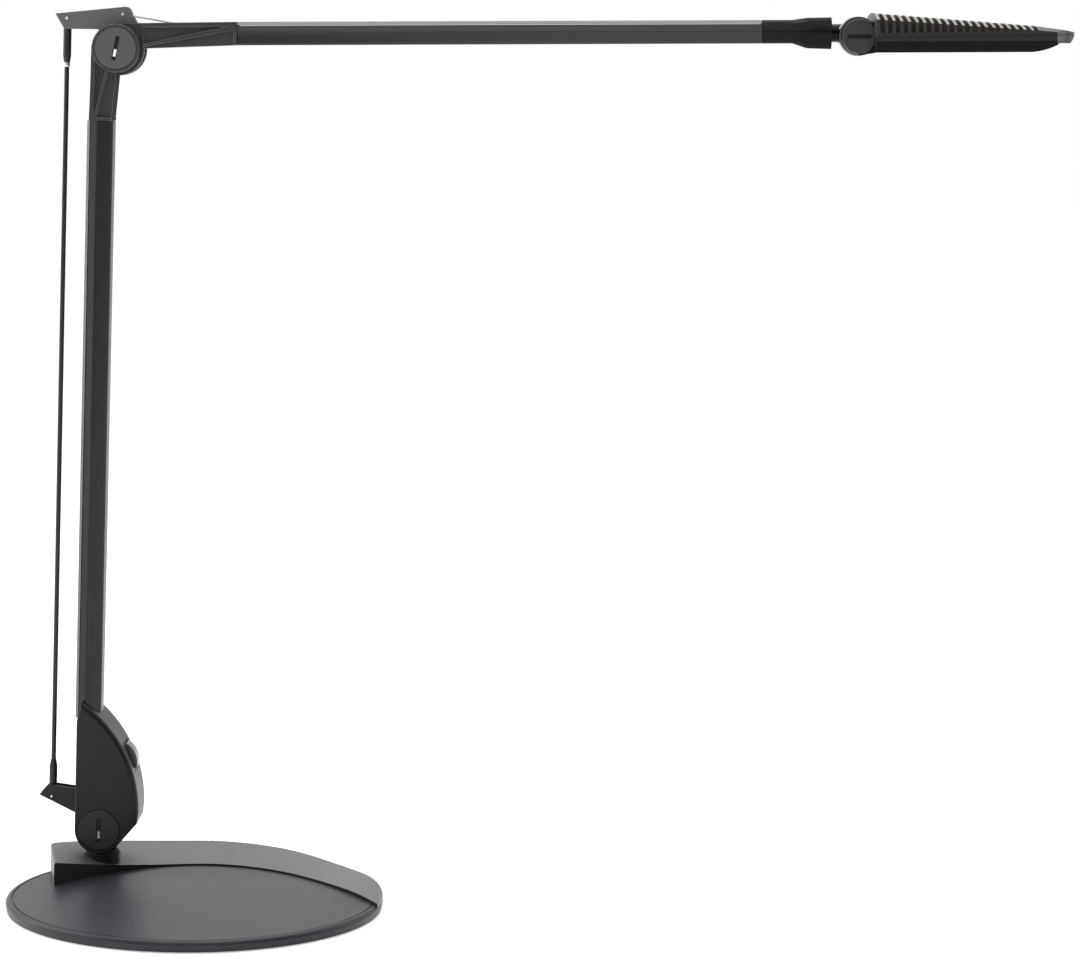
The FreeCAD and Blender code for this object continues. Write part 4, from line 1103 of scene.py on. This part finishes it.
@dataclass
class Turret(SubAssembly):
    """Swivel post with the bracket that anchors the rod and the balance cable."""

    body = "turret"
    finishes = {"swivel_post": POST, "swivel_ring": SPRING, "lower_bracket": FOOT_SHEET_SHADED}
    edges = {"swivel_post": 0.3, "lower_bracket": 0.2}
    flat = frozenset({"lower_bracket"})
    rivet_places: Points = ((-96.7, 60.0, 56.8), (-62.1, 60.0, 59.4))

    def fit(self) -> None:
        """Sets the two rivets of the bracket."""
        rivets = Rivet().make("foot_rivets", self.rivet_places, FOOT_SHEET_SHADED)
        self.add(rivets, SLOTS["lower_bracket_rivets"], "lower_bracket_rivets")


@dataclass
class LowerArm(SubAssembly):
    """Hinge housing, faceted tube and the elbow casting on its top."""

    body = "lower_arm"
    finishes = {
        "housing_near": HOUSING_ABS, "housing_far": HOUSING_ABS, "lower_pivot_bolt": ZINC,
        "lower_friction_washers": ZINC, "lower_pivot_caps": FOOT_CAP_SHADED,
        "lower_arm_tube": LOWER_TUBE, "lower_cable_strip": LOWER_STRIP, "lower_tube_plug": ACETAL,
        "control_board": BOARD, "tact_switch": NYLON, "lower_balance_spring": SPRING,
        "lower_spring_anchor": ZINC, "lower_balance_cable": WIRE_PAINTED_REFLECTION, "elbow_clevis": CASTING,
        "elbow_pivot_bolt": ZINC, "elbow_friction_washers": ZINC, "elbow_caps": ELBOW_CAP_LIT,
    }
    edges = {
        "housing_near": 0.0, "housing_far": 0.0, "lower_pivot_caps": 0.0, "lower_arm_tube": 0.5,
        "lower_cable_strip": 0.5, "elbow_clevis": 0.35, "elbow_caps": 0.0,
    }
    flat = frozenset({"lower_arm_tube", "lower_cable_strip"})
    screw: CrossScrew = CrossScrew(head=2.7, height=1.2, shank=1.4, length=34.0)
    screw_places: Points = ((-46.84, 78.4, 51.23), (-61.9, 78.4, 97.05), (-75.28, 78.4, 78.62))
    lower_slots: Points = ((-65.1, 41.0, 38.6), (-65.1, 79.0, 38.6))
    lower_lean: float = 1.2
    elbow_slots: Points = ((-54.96, 44.5, 530.9), (-54.96, 75.5, 530.9))
    elbow_lean: float = 10.0
    inner_facing: float = 0.9

    def finer(self, piece: Object, node: str) -> None:
        """Gives the inner side of the elbow casting a darker, dull finish as painted shade."""
        if node == "elbow_clevis":
            coat_faces(piece, CASTING_SIDE_SHADED, lambda c, n: n.x > self.inner_facing)

    def fit(self) -> None:
        """Drives the housing screws and lays black plates in the coin slots as painted shade."""
        screws = self.screw.make("housing_cross_screws", self.screw_places, (0, 1, 0))
        self.add(screws, SLOTS["housing_screws"], "housing_screws")
        lower = SlotShadePlate().make("lower_slot_plates", self.lower_slots, self.lower_lean)
        self.add(lower, SLOTS["lower_pivot_bolt"])
        upper = SlotShadePlate().make("elbow_slot_plates", self.elbow_slots, self.elbow_lean)
        self.add(upper, SLOTS["elbow_pivot_bolt"])


@dataclass
class PushButton(SubAssembly):
    """Dimmer button in the housing's curved front."""

    body = "push_button"
    finishes = {"push_button": BUTTON_ABS}
    edges = {"push_button": 0.5}
    flat = frozenset({"push_button"})


@dataclass
class LinkRod(SubAssembly):
    """Thin rod of the parallelogram with its two boots.

    The ferrule's rings give its radius and its height along the rod.
    """

    body = "link_rod"
    finishes = {"link_rod": ROD, "rod_end_sleeves": BOOT}
    edges = {"link_rod": 0.0, "rod_end_sleeves": 0.0}
    ferrule: Sequence[Ring] = (
        (1.55, -1.6), (1.85, -1.4), (2.0, -0.9), (2.0, 0.9), (1.85, 1.4), (1.55, 1.6),
    )
    ferrule_sides: int = 28
    ferrule_place: Point = (-87.15, 60.0, 520.4)
    along: Point = (0.0206, 0.0, 0.9998)

    def fit(self) -> None:
        """Slides a bright ferrule under the upper boot."""
        ring = turned("rod_ferrule", self.ferrule, self.ferrule_sides)
        NICKEL.put_on(ring)
        smooth(ring)
        self.add(lay(ring, self.ferrule_place, self.along), SLOTS["link_rod"])


@dataclass
class ElbowBracket(SubAssembly):
    """Folded bracket that the rod keeps level."""

    body = "elbow_bracket"
    finishes = {"elbow_bracket": ELBOW_SHEET_LIT, "elbow_spacer": ZINC}
    edges = {"elbow_bracket": 0.2}
    flat = frozenset({"elbow_bracket"})
    rivet_places: Points = ((-86.56, 60.0, 549.1), (-51.96, 60.0, 551.7))

    def fit(self) -> None:
        """Sets the two rivets of the bracket."""
        rivets = Rivet().make("elbow_rivets", self.rivet_places, ELBOW_SHEET_LIT)
        self.add(rivets, SLOTS["elbow_bracket_rivets"], "elbow_bracket_rivets")


@dataclass
class UpperArm(SubAssembly):
    """Elbow fitting, faceted tube and flared end sleeve."""

    body = "upper_arm"
    finishes = {
        "upper_fitting": CASTING, "upper_arm_tube": UPPER_TUBE, "upper_cable_strip": UPPER_STRIP,
        "upper_balance_spring": SPRING, "upper_spring_anchor": ZINC, "arm_end_sleeve": NYLON,
    }
    edges = {
        "upper_fitting": 0.35, "upper_arm_tube": 0.5, "upper_cable_strip": 0.5,
        "arm_end_sleeve": 0.4,
    }
    flat = frozenset({"upper_arm_tube", "upper_cable_strip"})
    cable_route: Points = (
        (-50.18, 60.0, 551.42), (-19.24, 60.0, 546.55), (17.59, 60.0, 539.66),
        (74.88, 60.0, 540.7),
    )

    def fit(self) -> None:
        """Stretches the balance cable from the elbow bracket into the arm."""
        cable = WireRope().make("balance_rope", self.cable_route)
        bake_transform(cable)
        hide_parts("upper_balance_cable")
        LOG.info("made %s", cable.name)


@dataclass
class HeadYoke(SubAssembly):
    """Chromed knuckle between the arm and the head."""

    body = "head_yoke"
    finishes = {"head_yoke": CHROME, "yoke_ring": SPRING, "head_friction_washers": ZINC}
    edges = {"head_yoke": 0.3}
    neck_end: float = 393.0

    def finer(self, piece: Object, node: str) -> None:
        """Blackens the neck that leads into the arm's sleeve."""
        coat_faces(piece, NYLON, lambda c, n: c.x < self.neck_end * MM)


@dataclass
class Head(SubAssembly):
    """Flat lamp head with its finned heat sink above and its lens below.

    The fins' crests, which carry a painted highlight, lie above crest_low and before crest_end. The
    heat sink's foot ends at fin_foot, the shell's upper band of painted highlight begins at
    band_foot, and both start at band_start. The shell's rim lies within rim_reach of a plane
    through rim_centre, which rises by rim_slope along X, and its faces have rim_level along Z.
    """

    body = "head"
    finishes = {
        "head_shell": GLOSS, "heat_sink": SINK, "diffuser_lens": OPAL, "led_board": LED_BOARD,
        "led_chips": PHOSPHOR, "head_hinge_pin": ZINC, "head_hinge_caps": HEAD_CAP_ABS,
    }
    edges = {"head_shell": 0.0, "heat_sink": 0.0, "diffuser_lens": 0.3, "head_hinge_caps": 0.0}
    flat = frozenset({"diffuser_lens"})
    screw: CrossScrew = CrossScrew(head=2.2, height=0.9, shank=1.2, length=9.9)
    screw_places: Points = (
        (420.93, 31.0, 536.4), (420.93, 89.0, 536.4), (507.53, 31.0, 537.98),
        (507.53, 89.0, 537.98),
    )
    screw_axis: Point = (0.01815, 0.0, -0.99984)
    crest_low: float = 550.2
    crest_end: float = 512.0
    fin_foot: Point = (470.0, 60.0, 548.56)
    band_foot: Point = (458.4, 60.0, 542.8)
    band_start: float = 414.8
    slots: Points = ((404.46, 44.4, 544.84), (404.46, 75.6, 544.84))
    slot_lean: float = 90.0
    rim_centre: Point = (470.0, 60.0, 546.0)
    rim_reach: float = 1.0
    rim_slope: float = 0.0277
    rim_level: float = 0.99
    gasket_height: float = 0.5
    gasket_inset: Point = (0.994, 0.99, 1.0)

    def finer(self, piece: Object, node: str) -> None:
        """Paints a highlight on the fins' crests, and gives the heat sink's foot and the shell's
        upper band the satin seam band.

        Args:
            piece: the softened copy.
            node: the CAD node that it stands for.
        """
        if node == "heat_sink":
            low, end = self.crest_low * MM, self.crest_end * MM
            coat_faces(piece, FIN_CREST_HIGHLIGHT, lambda c, n: n.z > SQUARE and c.z > low and c.x < end)
            self.paint_seam_band(piece, self.fin_foot, Vector((self.rim_slope, 0.0, -1.0)))
        elif node == "head_shell":
            self.paint_seam_band(piece, self.band_foot, -Vector(self.screw_axis))

    def paint_seam_band(self, piece: Object, foot: Point, inside: Vector) -> None:
        """Gives the side walls on one side of a plane the satin seam band, a painted highlight
        stripe.

        Args:
            piece: the softened piece.
            foot: a point of the plane.
            inside: the direction from the plane into the band.
        """
        place = Vector(foot) * MM
        with editing(piece):
            bpy.ops.mesh.select_all(action="SELECT")
            bpy.ops.mesh.bisect(plane_co=place, plane_no=inside)
        start = self.band_start * MM

        def in_band(centre: Vector, normal: Vector) -> bool:
            """Says whether a face is a wall inside the band."""
            return abs(normal.z) < STEEP and (centre - place).dot(inside) > 0 and centre.x > start

        coat_faces(piece, SEAM_BAND_HIGHLIGHT, in_band)

    def fit(self) -> None:
        """Drives the shell's screws, seals its seam and lays black plates in the hinge caps' slots
        as painted shade.
        """
        screws = self.screw.make("head_cross_screws", self.screw_places, self.screw_axis)
        self.add(screws, SLOTS["head_screws"], "head_screws")
        plates = SlotShadePlate().make("head_slot_plates", self.slots, self.slot_lean, sprung=False)
        self.add(plates, SLOTS["head_hinge_pin"])
        self.add(self.gasket(), SLOTS["base_pad"])

    def gasket(self) -> Object:
        """Raises a thin gasket from the shell's rim to the heat sink.

        Returns:
            The gasket.
        """
        piece = welded("head_shell", "head_gasket")
        centre = Vector(self.rim_centre) * MM
        rise = (0, 0, self.gasket_height * MM)

        def off_rim(place: Vector, normal: Vector) -> bool:
            """Says whether a face lies away from the shell's rim."""
            level = place.z - centre.z - (place.x - centre.x) * self.rim_slope
            return normal.z < self.rim_level or abs(level) > self.rim_reach * MM

        with editing(piece):
            pick_faces(piece, off_rim)
            bpy.ops.mesh.delete(type="FACE")
            bpy.ops.mesh.select_all(action="SELECT")
            bpy.ops.mesh.extrude_region_move(TRANSFORM_OT_translate={"value": rise})
            bpy.ops.mesh.select_all(action="SELECT")
            bpy.ops.mesh.normals_make_consistent(inside=False)
            bpy.ops.transform.resize(value=self.gasket_inset, center_override=centre)
        RUBBER.put_on(piece)
        smooth(piece)
        return piece


def main() -> None:
    """Builds the studio and every sub-assembly."""
    logging.basicConfig(level=logging.INFO, format="%(name)s: %(message)s")
    Studio().build()
    for part in (
        Base(), Turret(), LowerArm(), PushButton(), LinkRod(), ElbowBracket(), UpperArm(),
        HeadYoke(), Head(),
    ):
        part.build()


if __name__ == "__main__":
    main()
